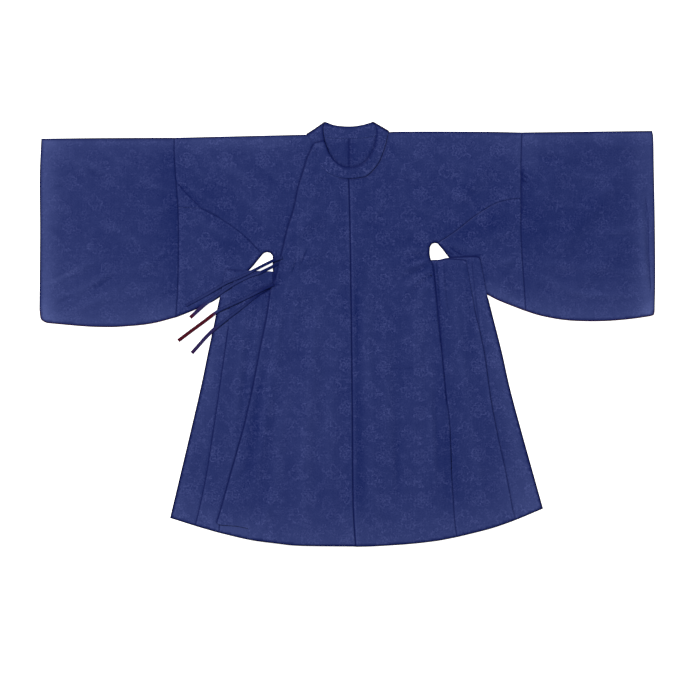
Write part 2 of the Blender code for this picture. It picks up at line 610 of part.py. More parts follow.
def make_collar(cloth):
    rows = []
    for index in range(COLLAR_ROWS + 1):
        values = catmull_rom(COLLAR, index / COLLAR_ROWS)
        section = dict(zip(COLLAR_COLUMNS, values))
        row = []
        for k in range(COLLAR_STRIPS + 1):
            t = k / COLLAR_STRIPS
            across = section["seam_across"] * (1 - t) + section["top_across"] * t
            down = section["seam_down"] * (1 - t) + section["top_down"] * t
            height = section["seam_height"] * (1 - t) + section["top_height"] * t
            height = max(height, COLLAR_WALL / 2)
            if section["seam_height"] > layer(2):
                height += COLLAR_CROWN * math.sin(math.pi * t)
            row.append(to_world(across, down, height))
        rows.append(row)
    make_strip("collar", rows, COLLAR_WALL, cloth)


def make_ties(mat):
    """Four flat ribbons, each level across its width."""
    for name, points in TIES.items():
        middle = [to_world(*catmull_rom(points, i / TIE_ROWS)) for i in range(TIE_ROWS + 1)]
        rows = []
        for i, here in enumerate(middle):
            run = middle[min(i + 1, TIE_ROWS)] - middle[max(i - 1, 0)]
            side = Vector((-run.y, run.x, 0.0)).normalized() * (TIE_WIDTH / 2 * MM)
            rows.append([here - side, here + side])
        make_strip(name, rows, TIE_WALL, mat)


def main():
    clear_scene()
    cloth = material("navy_jacquard", NAVY, 0.55)
    band = material("collar_cloth", NAVY, 0.5)
    ribbon = material("tie_cloth", DARK_NAVY, 0.6)
    make_body(cloth)
    make_underarms(cloth)
    make_side_panels(cloth)
    make_sleeves(cloth)
    make_collar(band)
    make_ties(ribbon)


main()
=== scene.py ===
"""Looks of the round-collared hanfu robe, laid flat with its front up.

Every piece of cloth is a thin shell of its own on its solid's form. "Across" is the distance
from the centre front (+X) and "down" the distance below the shoulder line (-Y), both in cm.
Heights above the surface and thicknesses are in mm.
"""
import math

import bpy
import numpy as np
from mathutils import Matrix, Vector, noise
from mathutils.geometry import delaunay_2d_cdt


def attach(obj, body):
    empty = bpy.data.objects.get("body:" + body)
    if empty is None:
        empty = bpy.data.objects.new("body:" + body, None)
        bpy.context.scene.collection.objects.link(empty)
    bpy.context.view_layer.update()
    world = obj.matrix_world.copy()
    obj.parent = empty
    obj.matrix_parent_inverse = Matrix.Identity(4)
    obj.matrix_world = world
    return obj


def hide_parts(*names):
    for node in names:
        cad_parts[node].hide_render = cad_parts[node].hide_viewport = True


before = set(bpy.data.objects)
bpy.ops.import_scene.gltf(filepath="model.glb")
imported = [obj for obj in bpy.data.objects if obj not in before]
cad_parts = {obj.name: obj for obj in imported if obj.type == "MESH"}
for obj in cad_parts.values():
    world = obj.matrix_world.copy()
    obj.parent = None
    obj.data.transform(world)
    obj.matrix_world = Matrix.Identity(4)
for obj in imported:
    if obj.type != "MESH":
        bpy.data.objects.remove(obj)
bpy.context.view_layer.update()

CM = 0.01
MM = 0.001

# Camera: straight above, at the photo's framing
FRAME_WIDTH = 2.24        # metres of the surface that the picture's side covers
CAMERA_HEIGHT = 12.0
CAMERA_PLACE = (0.0096, -0.0512)
SENSOR = 36.0

# Driving sizes of the robe, in cm
SPAN_LEFT = 99.0          # centre front to the cuff at the photo's left
SPAN_RIGHT = 97.8         # centre front to the cuff at the photo's right
COLLAR_RISE = 4.0         # how far the collar's peak stands above the shoulder line
HEM_DROP = 132.0          # shoulder line to the hem at the centre
CENTRE_ACROSS = (SPAN_RIGHT - SPAN_LEFT) / 2
CENTRE_DOWN = (HEM_DROP - COLLAR_RISE) / 2

# Cloth, in mm
WALL = 1.2                # lined silk jacquard
COLLAR_WALL = 1.8         # collar band, doubled and stiffened
LAYER = 1.8               # from one layer's middle to the next one's
SEAM_INSET = 0.15         # each side of a seam, so neighbours are 0.3 apart
NECK_INSET = -0.6         # the body reaches this far under the collar's seam
BACK_NECK_INSET = -1.8    # and the back reaches this far past it, up to the band
OUTER_INSET = -0.9        # the hem and the side panels' edges stand this far outside the solids
FOLD_INSET = 0.3          # the folds on the shoulders and sleeves are this far inside the outline
TIE_WALL = 1.0

# Edges of the pieces: across, down
SHOULDER_LEFT = [(-55.8, 1.2), (-22.4, 0.4), (-13.6, 0.2)]
SHOULDER_RIGHT = [(12.6, -0.6), (16.0, -0.75), (30.0, -0.78), (45.0, -0.70), (55.4, -0.5)]
NECK_FRONT_RIGHT = [(0.0, 14.4), (3.2, 14.1), (5.9, 13.4), (8.6, 10.7), (10.0, 8.5),
                    (11.3, 5.1), (12.1, 2.1), (12.6, -0.6)]
NECK_OVERLAP = [(-11.2, 2.8), (-10.8, 4.3), (-10.5, 6.0), (-9.6, 9.0), (-8.1, 11.4),
                (-6.0, 13.0), (-2.9, 14.1), (0.0, 14.4)]
NECK_INNER = [(-13.6, 0.2), (-12.0, 2.2), (-11.2, 4.3), (-10.7, 6.0), (-9.8, 9.1),
              (-8.2, 11.6), (-6.0, 13.2), (-2.9, 14.3), (-0.4, 14.5)]
NECK_BACK_LEFT = [(-13.6, 0.2), (-10.5, 0.9), (-6.0, 1.5), (0.0, 1.7)]
NECK_BACK_RIGHT = [(0.0, 1.7), (6.0, 1.3), (10.0, 0.4), (12.6, -0.6)]

CENTRE_FRONT = [(0.0, 14.4), (0.4, 30.0), (0.75, 53.0), (1.1, 85.0), (1.3, 112.0),
                (1.55, 122.0), (2.2, 132.0)]
CENTRE_BACK = [(0.0, 1.7), (0.3, 30.0), (0.7, 53.0), (1.15, 85.0), (1.6, 115.0), (2.2, 132.0)]
INNER_EDGE = [(-0.4, 14.5), (-0.1, 30.0), (0.3, 53.0), (0.75, 85.0), (1.2, 115.0),
              (1.7, 131.9)]

CLOSING_EDGE = [(-11.2, 2.8), (-12.2, 5.1), (-13.3, 7.5), (-14.7, 11.9), (-16.2, 16.8),
                (-17.1, 21.1), (-18.0, 25.0), (-19.8, 30.7), (-21.6, 38.4), (-22.4, 41.5),
                (-23.4, 46.0), (-25.2, 50.2)]
OVERLAP_SIDE = [(-25.2, 50.2), (-26.2, 57.6), (-28.5, 69.1), (-30.95, 81.9), (-32.4, 88.3),
                (-33.9, 94.7), (-37.5, 107.5), (-41.1, 120.3), (-42.4, 124.5)]
OVERLAP_STEP = [(-42.4, 124.5), (-40.8, 125.1), (-37.0, 125.3), (-32.3, 126.1)]
OVERLAP_STEP_END = [(-32.3, 126.1), (-31.7, 129.8)]

SIDE_SEAM_LEFT = [(-24.3, 44.0), (-24.6, 50.5), (-27.8, 69.5), (-30.9, 85.5), (-37.7, 109.0),
                  (-40.9, 123.0), (-41.6, 127.5)]
SIDE_SEAM_RIGHT = [(26.2, 40.3), (27.4, 44.0), (28.6, 59.5), (29.7, 69.1), (31.4, 85.1),
                   (32.05, 90.0), (32.5, 96.5), (32.85, 108.0), (33.3, 114.6), (33.95, 124.0),
                   (34.6, 128.9)]
ARMPIT_LEFT = [(-27.7, 38.6), (-27.0, 38.0), (-26.2, 37.8), (-25.2, 38.0), (-24.4, 39.0)]
ARMPIT_RIGHT = [(28.3, 35.0), (27.4, 34.9), (26.6, 35.1), (25.9, 36.2)]
BODY_EDGE_LEFT = [(-24.4, 39.0), (-24.3, 44.0)]
BODY_EDGE_RIGHT = [(25.9, 36.2), (25.8, 38.2), (26.2, 40.3)]

SLEEVE_SEAM_LEFT = [(-55.8, 1.2), (-55.8, 7.0), (-55.4, 13.1), (-54.6, 23.4)]
SLEEVE_SEAM_LEFT_LOW = [(-54.6, 23.4), (-54.45, 33.9), (-54.65, 48.3), (-55.3, 58.7)]
SLEEVE_SEAM_RIGHT = [(55.4, -0.5), (55.1, 9.9), (55.1, 20.8)]
SLEEVE_SEAM_RIGHT_LOW = [(55.1, 20.8), (55.2, 33.9), (56.0, 46.7), (56.6, 56.7)]
CURVED_SEAM_LEFT = [(-54.6, 23.4), (-47.4, 23.8), (-40.2, 27.7), (-33.1, 32.9), (-27.7, 38.6)]
CURVED_SEAM_RIGHT = [(55.1, 20.8), (52.0, 20.9), (46.8, 22.3), (40.4, 26.2), (33.9, 31.3),
                     (28.3, 35.0)]
UNDERARM_BOTTOM_LEFT = [(-55.3, 58.7), (-50.8, 56.9), (-47.3, 55.3), (-41.2, 52.1),
                        (-32.0, 43.6), (-29.2, 40.4), (-27.7, 38.6)]
UNDERARM_BOTTOM_RIGHT = [(56.6, 56.7), (48.4, 53.5), (44.4, 51.5), (38.5, 46.5), (32.0, 39.5),
                         (30.2, 37.2), (28.3, 35.0)]

SLEEVE_TOP_LEFT = [(-55.8, 1.2), (-80.0, 1.3), (-98.4, 1.5)]
SLEEVE_TOP_RIGHT = [(55.4, -0.5), (80.0, -0.8), (96.6, -1.0)]
CUFF_LEFT = [(-98.4, 1.5), (-98.9, 14.0), (-98.8, 32.0), (-99.0, 56.3)]
CUFF_CORNER_LEFT = [(-99.0, 56.3), (-98.5, 59.3), (-96.6, 60.5)]
CUFF_RIGHT = [(96.6, -1.0), (97.3, 0.3), (97.55, 11.5), (97.85, 27.5), (98.0, 45.0),
              (97.8, 56.7)]
CUFF_CORNER_RIGHT = [(97.8, 56.7), (97.5, 57.9), (96.4, 58.3)]
SLEEVE_BOTTOM_LEFT = [(-96.6, 60.5), (-86.0, 61.45), (-79.6, 61.78), (-73.2, 61.68),
                      (-63.6, 60.75), (-55.3, 58.7)]
SLEEVE_BOTTOM_RIGHT = [(96.4, 58.3), (90.0, 59.22), (82.0, 59.86), (74.0, 59.88), (67.6, 59.36),
                       (61.2, 58.12), (56.6, 56.7)]

PANEL_TOP_LEFT = [(-39.4, 43.2), (-36.8, 43.5), (-24.3, 44.0)]
PANEL_TOP_LEFT_FRONT = [(-36.8, 44.2), (-24.3, 44.0)]
PANEL_OUTER_LEFT = [(-39.4, 43.2), (-41.3, 52.5), (-44.8, 69.1), (-48.2, 85.1),
                    (-57.1, 122.8)]
PANEL_FOLD_LEFT = [(-36.8, 44.2), (-38.7, 62.1), (-42.0, 85.1), (-43.9, 97.9), (-45.4, 107.5),
                   (-47.3, 117.1), (-49.2, 125.3)]
PANEL_TOP_RIGHT = [(26.2, 40.3), (29.0, 40.2), (32.0, 39.6), (40.6, 39.2), (42.0, 39.9)]
PANEL_TOP_RIGHT_FRONT = [(26.2, 40.3), (29.0, 40.4), (32.0, 39.9), (37.5, 40.3)]
PANEL_OUTER_RIGHT = [(42.0, 39.9), (44.3, 52.0), (48.7, 69.1), (52.4, 85.1), (62.0, 119.8)]
PANEL_FOLD_RIGHT = [(37.5, 40.3), (40.3, 56.3), (43.2, 69.1), (45.5, 85.1), (47.7, 96.6),
                    (50.1, 107.5), (52.5, 120.3), (53.4, 123.4)]

# Hem, from left to right; the pieces' edges end on it
HEM = [(-57.1, 122.8), (-49.2, 125.3), (-41.6, 127.5), (-31.7, 129.8), (-22.8, 131.0),
       (-15.2, 131.7), (1.7, 131.9), (2.2, 132.0), (8.9, 131.8), (19.6, 131.1), (28.2, 130.1),
       (34.6, 128.9), (45.3, 126.2), (53.4, 123.4), (62.0, 119.8)]

# Collar band, from its free end at the left shoulder round the front to the right shoulder,
# along the back of the neck and down again under its own free end. Each section has across,
# down and height at its seam, and then at its top edge.
COLLAR = [
    (-11.2, 2.8, 6.6, -8.1, 1.9, 7.6),
    (-10.8, 4.3, 6.4, -7.1, 4.2, 7.6),
    (-10.4, 6.0, 6.2, -6.4, 6.0, 7.6),
    (-9.5, 9.0, 5.6, -4.6, 8.5, 7.6),
    (-8.0, 11.3, 5.3, -2.9, 9.9, 7.6),
    (-5.9, 12.9, 5.0, -1.6, 10.5, 7.6),
    (-2.8, 14.0, 4.9, -0.3, 10.7, 7.6),
    (0.2, 14.3, 5.4, 1.1, 10.65, 7.6),
    (3.1, 14.0, 5.3, 2.5, 10.4, 7.6),
    (5.8, 13.3, 5.2, 4.0, 9.7, 7.6),
    (8.5, 10.6, 5.0, 5.9, 8.1, 7.6),
    (9.9, 8.4, 4.6, 7.1, 6.3, 7.5),
    (11.2, 5.0, 4.3, 8.2, 3.8, 7.3),
    (12.0, 2.0, 4.1, 8.8, 0.6, 6.9),
    (12.45, 0.2, 4.2, 8.7, -1.8, 6.2),
    (12.8, -0.95, 3.6, 7.9, -3.8, 3.6),
    (12.0, -0.7, 1.2, 6.9, -3.6, 1.3),
    (9.8, 0.2, 0.9, 4.6, -2.95, 0.9),
    (5.9, 1.1, 0.9, 2.0, -2.5, 0.9),
    (0.0, 1.5, 0.9, -0.1, -2.4, 0.9),
    (-5.9, 1.3, 0.9, -2.3, -2.5, 0.9),
    (-10.3, 0.7, 0.9, -5.0, -2.9, 0.9),
    (-12.9, 0.1, 1.2, -7.7, -3.85, 1.4),
    (-13.55, 0.05, 2.5, -8.1, -3.0, 3.2),
    (-12.7, 1.2, 3.0, -8.3, -1.2, 3.9),
    (-11.9, 2.2, 3.1, -8.0, 1.2, 4.2),
    (-11.1, 4.3, 3.1, -7.3, 3.9, 4.2),
    (-10.6, 6.0, 3.1, -6.6, 6.0, 4.2),
]

# Ties: points chosen along each ribbon, at its middle, from the sewn end to the free end:
# across, down, height
TIES = {
    "tie_1": [(-21.2, 39.6, 8.4), (-22.8, 40.0, 8.4), (-24.4, 40.6, 8.0), (-28.0, 42.4, 7.6),
              (-30.9, 43.9, 7.8), (-35.0, 45.9, 8.0), (-38.9, 47.5, 7.2), (-42.3, 49.4, 5.0),
              (-45.8, 51.5, 4.0), (-51.9, 54.8, 3.8)],
    "tie_2": [(-22.7, 41.5, 4.2), (-24.3, 42.4, 4.4), (-26.5, 43.5, 6.4), (-28.9, 44.6, 7.6),
              (-32.0, 45.7, 7.8), (-35.5, 47.4, 7.8), (-39.0, 49.5, 7.2), (-42.5, 52.0, 5.0),
              (-46.0, 54.5, 4.0), (-48.2, 56.4, 3.9), (-50.6, 58.6, 2.2)],
    "tie_3": [(-24.0, 48.2, 8.4), (-26.2, 49.1, 8.0), (-28.4, 50.2, 6.6), (-30.7, 51.4, 5.2),
              (-33.4, 52.7, 5.2), (-36.0, 53.9, 6.6), (-38.7, 55.1, 7.4), (-41.3, 56.3, 6.4),
              (-43.6, 57.9, 4.0), (-46.2, 59.9, 1.8), (-50.0, 62.7, 0.9), (-54.4, 66.0, 0.7)],
    "tie_4": [(-24.9, 48.9, 4.2), (-26.6, 49.8, 4.2), (-29.4, 51.7, 3.7), (-33.4, 54.9, 4.4),
              (-36.0, 56.9, 4.8), (-38.7, 58.9, 4.6), (-41.2, 60.9, 3.8), (-43.6, 62.9, 2.6),
              (-46.0, 65.3, 1.2), (-48.2, 67.8, 0.8), (-50.1, 69.9, 0.7)],
}

# Largest folds: a soft ridge from one end to the other: across, down, across, down, width in
# cm and height in mm
FOLDS = [
    (-90.0, 14.0, -62.0, 44.0, 5.5, 2.6), (-88.0, 34.0, -66.0, 53.0, 4.5, 2.0),
    (-76.0, 8.0, -60.0, 24.0, 4.5, 1.8), (-50.0, 8.0, -30.0, 26.0, 5.0, 2.2),
    (-46.0, 30.0, -34.0, 38.0, 4.0, 1.8), (-19.0, 34.0, -8.0, 24.0, 4.0, 2.6),
    (-20.0, 42.0, -7.0, 37.0, 3.8, 2.4), (-21.0, 49.0, -10.0, 52.0, 3.8, 2.0),
    (-12.0, 62.0, -16.0, 112.0, 6.0, 2.6), (-24.0, 74.0, -30.0, 112.0, 5.0, 2.0),
    (8.0, 64.0, 12.0, 116.0, 6.0, 2.6), (20.0, 60.0, 23.0, 104.0, 5.5, 2.2),
    (24.5, 38.0, 12.0, 26.0, 4.2, 2.6), (25.0, 42.0, 12.0, 41.0, 3.8, 2.4),
    (25.0, 46.0, 14.0, 53.0, 3.8, 2.0), (48.0, 8.0, 30.0, 24.0, 5.0, 2.2),
    (70.0, 6.0, 60.0, 26.0, 4.5, 1.8), (88.0, 12.0, 64.0, 40.0, 5.5, 2.6),
    (90.0, 34.0, 68.0, 52.0, 4.5, 2.0), (49.0, 40.0, 51.0, 52.0, 3.6, 1.6),
]
INNER_FOLD_SHARE = 0.3    # how much of the folds the inner front takes

# Spacing of the looks' points, in cm
FINE_STEP = 0.8           # along the edges
FRONT_LATTICE = 0.72      # inside the layers that show
UNDER_LATTICE = 1.3       # inside those that lie under them
RINGS = (0.0, 0.3, 0.9, 2.0, 4.2)     # rows along every edge, this far inside it, in mm
KEPT_CLEAR = 0.45         # no other point lies this near a row, in spacings
CHUNK = 4000                          # points measured at a time

# Creases: a soft ridge (or a trough, where the height is negative) from one end to the
# other: across, down, across, down, bow (cm to the side at its middle), width (cm), height (mm)
CREASES = [
    # left sleeve
    (-95.0, 3.8, -82.2, 10.9, 0.6, 2.2, 1.0), (-88.0, 12.5, -84.4, 16.3, 0.0, 0.7, -0.8),
    (-83.5, 11.2, -77.7, 15.4, 0.3, 0.8, -0.9), (-84.8, 8.3, -75.8, 13.4, 0.3, 1.3, 0.8),
    (-79.6, 3.8, -70.0, 10.9, 0.6, 1.6, 0.9), (-75.8, 7.4, -68.1, 15.4, -0.3, 1.0, -0.6),
    (-67.5, 3.8, -60.4, 8.3, 0.3, 1.3, 0.7), (-68.1, 13.4, -56.6, 18.6, 0.6, 1.3, 0.8),
    (-66.8, 16.6, -57.2, 21.1, 0.6, 1.0, -0.5), (-95.6, 13.4, -91.2, 15.4, 0.0, 1.0, 0.7),
    (-95.6, 17.9, -90.5, 16.6, 0.0, 1.0, -0.6), (-93.7, 23.0, -84.8, 26.2, 0.6, 1.3, 0.8),
    (-89.2, 24.6, -84.8, 27.2, 0.0, 0.8, -0.7), (-95.6, 30.1, -89.9, 34.6, 0.0, 1.0, -0.8),
    (-81.2, 28.2, -70.7, 31.4, 0.6, 1.6, 0.8), (-73.9, 33.9, -63.6, 35.8, -0.6, 1.6, 0.8),
    (-84.8, 37.1, -80.3, 36.5, 0.0, 0.8, 0.9), (-96.9, 48.0, -82.2, 41.0, 0.6, 1.1, 1.0),
    (-98.2, 47.4, -88.0, 42.9, 0.6, 0.8, -0.8), (-92.4, 53.1, -77.1, 44.8, 0.6, 1.4, 1.0),
    (-93.1, 54.4, -88.0, 51.8, 0.0, 1.1, -1.0), (-83.5, 49.9, -75.8, 46.1, 0.3, 1.0, -0.8),
    (-88.0, 55.7, -72.0, 48.6, 1.0, 1.6, 0.9), (-76.4, 53.1, -63.6, 48.6, 0.6, 1.3, 0.7),
    (-70.0, 44.2, -57.9, 37.8, 0.6, 1.3, 0.8), (-63.0, 41.0, -56.0, 38.4, 0.0, 0.8, -0.8),
    (-60.4, 52.5, -55.3, 50.6, 0.0, 1.0, -0.7), (-63.6, 25.6, -56.0, 22.4, 0.3, 1.3, 0.7),
    (-61.7, 32.6, -56.0, 35.2, 0.0, 1.0, -0.6),
    # wearer's right shoulder and underarm
    (-55.0, 16.0, -46.4, 23.7, 0.0, 0.7, -1.0), (-54.0, 14.1, -43.2, 22.4, 0.3, 1.1, 0.9),
    (-52.1, 8.3, -41.2, 16.0, 0.6, 1.6, 0.9), (-47.6, 5.1, -34.8, 13.4, 1.0, 1.6, 0.8),
    (-48.9, 10.2, -38.0, 18.6, 0.0, 1.0, -0.6), (-40.0, 8.3, -27.8, 17.9, 0.6, 1.6, 0.8),
    (-31.6, 5.1, -20.4, 14.7, 1.0, 1.6, 0.8), (-27.8, 11.5, -18.2, 19.8, 0.6, 1.0, -0.6),
    (-36.1, 17.9, -25.9, 25.6, 0.6, 1.4, 0.8), (-31.0, 23.0, -22.0, 31.4, 0.6, 1.3, 0.8),
    (-29.1, 29.4, -23.3, 35.8, 0.3, 0.8, -0.7), (-50.8, 25.6, -34.8, 33.9, 1.0, 1.6, 0.9),
    (-52.8, 31.4, -39.3, 41.0, 1.0, 1.6, 0.8), (-53.4, 37.8, -43.2, 45.4, 0.6, 1.3, 0.7),
    (-48.9, 35.8, -41.2, 41.0, 0.0, 1.0, -0.6), (-51.5, 44.2, -45.7, 49.9, 0.3, 1.3, 0.7),
    (-54.0, 21.1, -48.9, 22.1, 0.0, 0.6, -0.6),
    # overlapping front
    (-10.8, 4.5, -5.4, 14.1, 0.6, 0.8, -0.5), (-7.3, 12.2, -12.1, 17.3, 0.3, 0.8, 0.6),
    (-14.4, 19.8, -16.6, 41.0, 0.6, 1.0, 0.8), (-15.6, 25.6, -16.9, 39.0, 0.3, 0.8, -0.7),
    (-16.3, 39.7, -18.2, 44.8, 0.0, 0.6, -1.0), (-13.1, 37.1, -15.3, 41.6, 0.0, 0.6, -0.8),
    (-13.7, 35.2, -16.3, 41.0, 0.0, 1.0, 0.8), (-18.8, 47.4, -20.1, 51.8, 0.0, 0.7, 0.7),
    (-2.5, 46.1, -4.1, 51.2, 0.0, 0.6, 0.8), (-9.9, 17.9, -13.7, 28.2, 1.0, 1.3, 0.7),
    (-4.1, 17.9, -6.0, 30.7, -0.6, 1.6, 0.7), (-20.8, 53.1, -23.3, 72.3, 0.6, 1.3, 0.9),
    (-15.6, 49.9, -18.8, 69.1, 1.0, 1.6, 0.8), (-9.2, 53.1, -11.8, 78.7, 1.0, 1.9, 0.8),
    (-25.9, 71.7, -32.9, 108.8, 0.6, 1.3, -1.0), (-23.3, 73.0, -29.7, 110.7, 0.6, 1.6, 1.0),
    (-27.8, 88.3, -31.6, 110.7, 0.0, 1.9, -1.2), (-18.8, 78.7, -23.3, 117.1, 1.0, 2.6, 1.0),
    (-12.4, 85.1, -14.4, 123.5, 0.6, 2.9, 0.9), (-4.8, 72.3, -6.0, 117.1, 0.6, 2.6, 0.8),
    (-33.9, 107.5, -35.2, 111.4, 0.0, 0.8, -1.0), (-23.3, 113.9, -27.8, 126.1, 0.3, 1.6, 0.8),
    # wearer's left front
    (11.2, 5.1, 22.8, 14.1, 1.0, 1.6, 0.8), (15.1, 1.9, 29.2, 10.2, 1.0, 1.6, 0.9),
    (25.3, -1.3, 29.8, 2.6, 0.0, 1.0, -0.7), (17.6, 14.1, 22.8, 17.9, 0.0, 0.8, -0.8),
    (29.2, 5.1, 42.0, 12.2, 1.0, 1.6, 0.8), (33.0, 14.1, 41.3, 19.8, 0.3, 0.8, -0.9),
    (31.7, 17.9, 40.7, 22.4, 0.3, 1.1, 0.8), (38.8, 19.8, 45.8, 26.9, 0.3, 1.6, -0.8),
    (42.0, 5.1, 53.5, 13.4, 1.0, 1.3, 0.7), (50.3, 5.1, 55.1, 7.7, 0.0, 0.8, 0.7),
    (11.2, 19.8, 4.8, 28.2, -1.3, 1.3, 0.8), (4.8, 28.2, 11.2, 33.9, -0.6, 1.0, -0.6),
    (16.4, 19.8, 29.2, 25.6, 1.0, 1.6, 0.7), (18.9, 28.2, 25.3, 33.9, 0.3, 1.3, 0.7),
    (25.6, 37.1, 15.7, 38.4, 0.3, 1.0, 0.8), (26.0, 39.0, 17.0, 42.2, 0.3, 0.8, -0.8),
    (26.0, 40.3, 17.0, 44.2, 0.3, 0.8, 0.9), (26.3, 42.2, 17.6, 46.7, 0.3, 0.8, -0.8),
    (26.6, 43.5, 18.9, 49.3, 0.3, 0.8, 0.9), (26.9, 45.4, 20.8, 50.6, 0.3, 0.8, -0.8),
    (26.9, 47.4, 22.1, 53.1, 0.3, 1.0, 0.8), (24.7, 35.2, 16.4, 33.9, 0.0, 1.0, -0.6),
    (2.6, 48.0, 2.9, 72.3, 0.0, 1.6, -1.1), (3.2, 78.7, 4.2, 117.1, 0.3, 1.9, -0.8),
    (13.2, 75.2, 24.7, 74.6, 0.3, 0.6, -0.3), (5.5, 53.1, 7.4, 91.5, 0.3, 2.2, 0.9),
    (11.9, 62.7, 13.8, 110.7, 0.3, 2.6, 0.9), (15.1, 94.7, 16.0, 117.1, 0.0, 1.6, -0.8),
    (26.0, 72.3, 27.2, 110.7, 0.3, 1.3, 0.8), (27.9, 85.1, 29.2, 110.7, 0.0, 1.0, -0.8),
    (30.4, 94.7, 31.7, 117.1, 0.0, 1.3, -1.0), (21.5, 53.1, 24.0, 85.1, 0.3, 2.2, 0.8),
    (7.4, 97.9, 8.7, 123.5, 0.3, 1.9, 0.6),
    # wearer's left underarm
    (31.7, 36.5, 38.1, 38.7, -0.3, 0.6, -1.0), (32.4, 34.9, 40.0, 37.8, -0.3, 1.0, 0.8),
    (42.0, 37.8, 54.8, 41.0, 0.6, 1.3, 0.7), (45.8, 42.2, 52.2, 41.0, 0.0, 1.0, 0.7),
    (44.5, 33.9, 52.2, 30.1, 0.6, 1.6, 0.7), (46.4, 48.6, 52.2, 53.1, 0.3, 1.3, 0.6),
    (48.4, 43.5, 52.8, 48.0, 0.0, 1.0, -0.6),
    # right sleeve
    (55.7, 13.1, 57.4, 14.6, 0.0, 0.5, -1.0), (55.6, 10.6, 56.4, 11.8, 0.0, 0.5, -0.8),
    (56.0, 13.9, 57.8, 15.3, 0.0, 0.5, 0.9), (55.6, 14.8, 57.3, 16.2, 0.0, 0.5, -0.9),
    (59.2, 19.8, 62.4, 18.6, 0.0, 0.8, 0.8), (59.2, 7.0, 67.6, 8.3, 0.3, 1.3, -0.9),
    (61.2, 3.8, 74.0, 6.4, 0.6, 1.6, 0.8), (67.6, 11.5, 83.6, 14.7, 0.6, 1.6, 0.8),
    (80.4, 1.9, 94.8, 5.1, 0.3, 1.3, 0.7), (80.4, 19.8, 85.5, 17.9, -1.0, 1.0, 0.7),
    (69.5, 23.0, 80.4, 25.6, -0.6, 1.0, 0.8), (61.2, 29.4, 70.8, 28.2, 0.3, 1.3, 0.7),
    (81.6, 32.0, 94.4, 29.4, 0.3, 1.3, 0.8), (61.2, 41.0, 80.4, 42.9, 0.6, 1.6, 0.8),
    (59.9, 48.0, 66.3, 51.2, 0.3, 1.0, -0.9), (62.4, 46.1, 80.4, 51.8, 1.0, 1.3, 0.9),
    (67.6, 50.6, 93.2, 51.8, 0.6, 1.3, 0.7), (80.4, 41.0, 93.2, 45.4, 0.6, 1.3, 0.7),
    (86.8, 35.2, 95.1, 37.1, 0.0, 1.0, -0.6), (95.1, 20.5, 96.7, 50.6, 0.3, 0.5, -1.2),
    (93.5, 21.1, 94.8, 49.9, 0.0, 1.3, 1.0),
    # side panels
    (-38.0, 51.8, -40.0, 69.8, 0.3, 1.0, 0.8), (-32.9, 53.1, -36.1, 91.5, 0.3, 1.3, 0.8),
    (-29.7, 56.3, -34.8, 97.9, 0.6, 1.0, -0.7), (-27.8, 51.8, -29.7, 65.9, 0.0, 0.6, 0.8),
    (-43.2, 85.1, -48.9, 117.1, 0.3, 1.3, 0.8), (-45.1, 78.7, -52.1, 113.9, 0.3, 1.6, -0.6),
    (29.5, 41.0, 31.1, 57.0, 0.0, 0.7, 0.9), (28.2, 41.0, 29.5, 56.3, 0.0, 0.6, -0.8),
    (37.5, 39.7, 40.0, 62.7, 0.3, 0.7, -0.8), (39.1, 39.7, 42.0, 62.7, 0.3, 0.7, 0.8),
    (34.3, 53.1, 38.8, 91.5, 0.3, 1.6, 0.8), (41.3, 62.7, 48.4, 97.9, 0.3, 1.3, 0.7),
    (32.4, 91.5, 34.3, 117.1, 0.0, 1.9, -1.2), (38.8, 94.7, 43.2, 117.1, 0.0, 1.6, 0.8),
    (47.7, 65.9, 54.8, 94.7, 0.3, 1.3, 0.8), (50.3, 85.1, 57.3, 113.9, 0.3, 1.6, 0.7),
    (43.9, 43.5, 46.4, 59.5, 0.0, 0.8, -0.7),
]
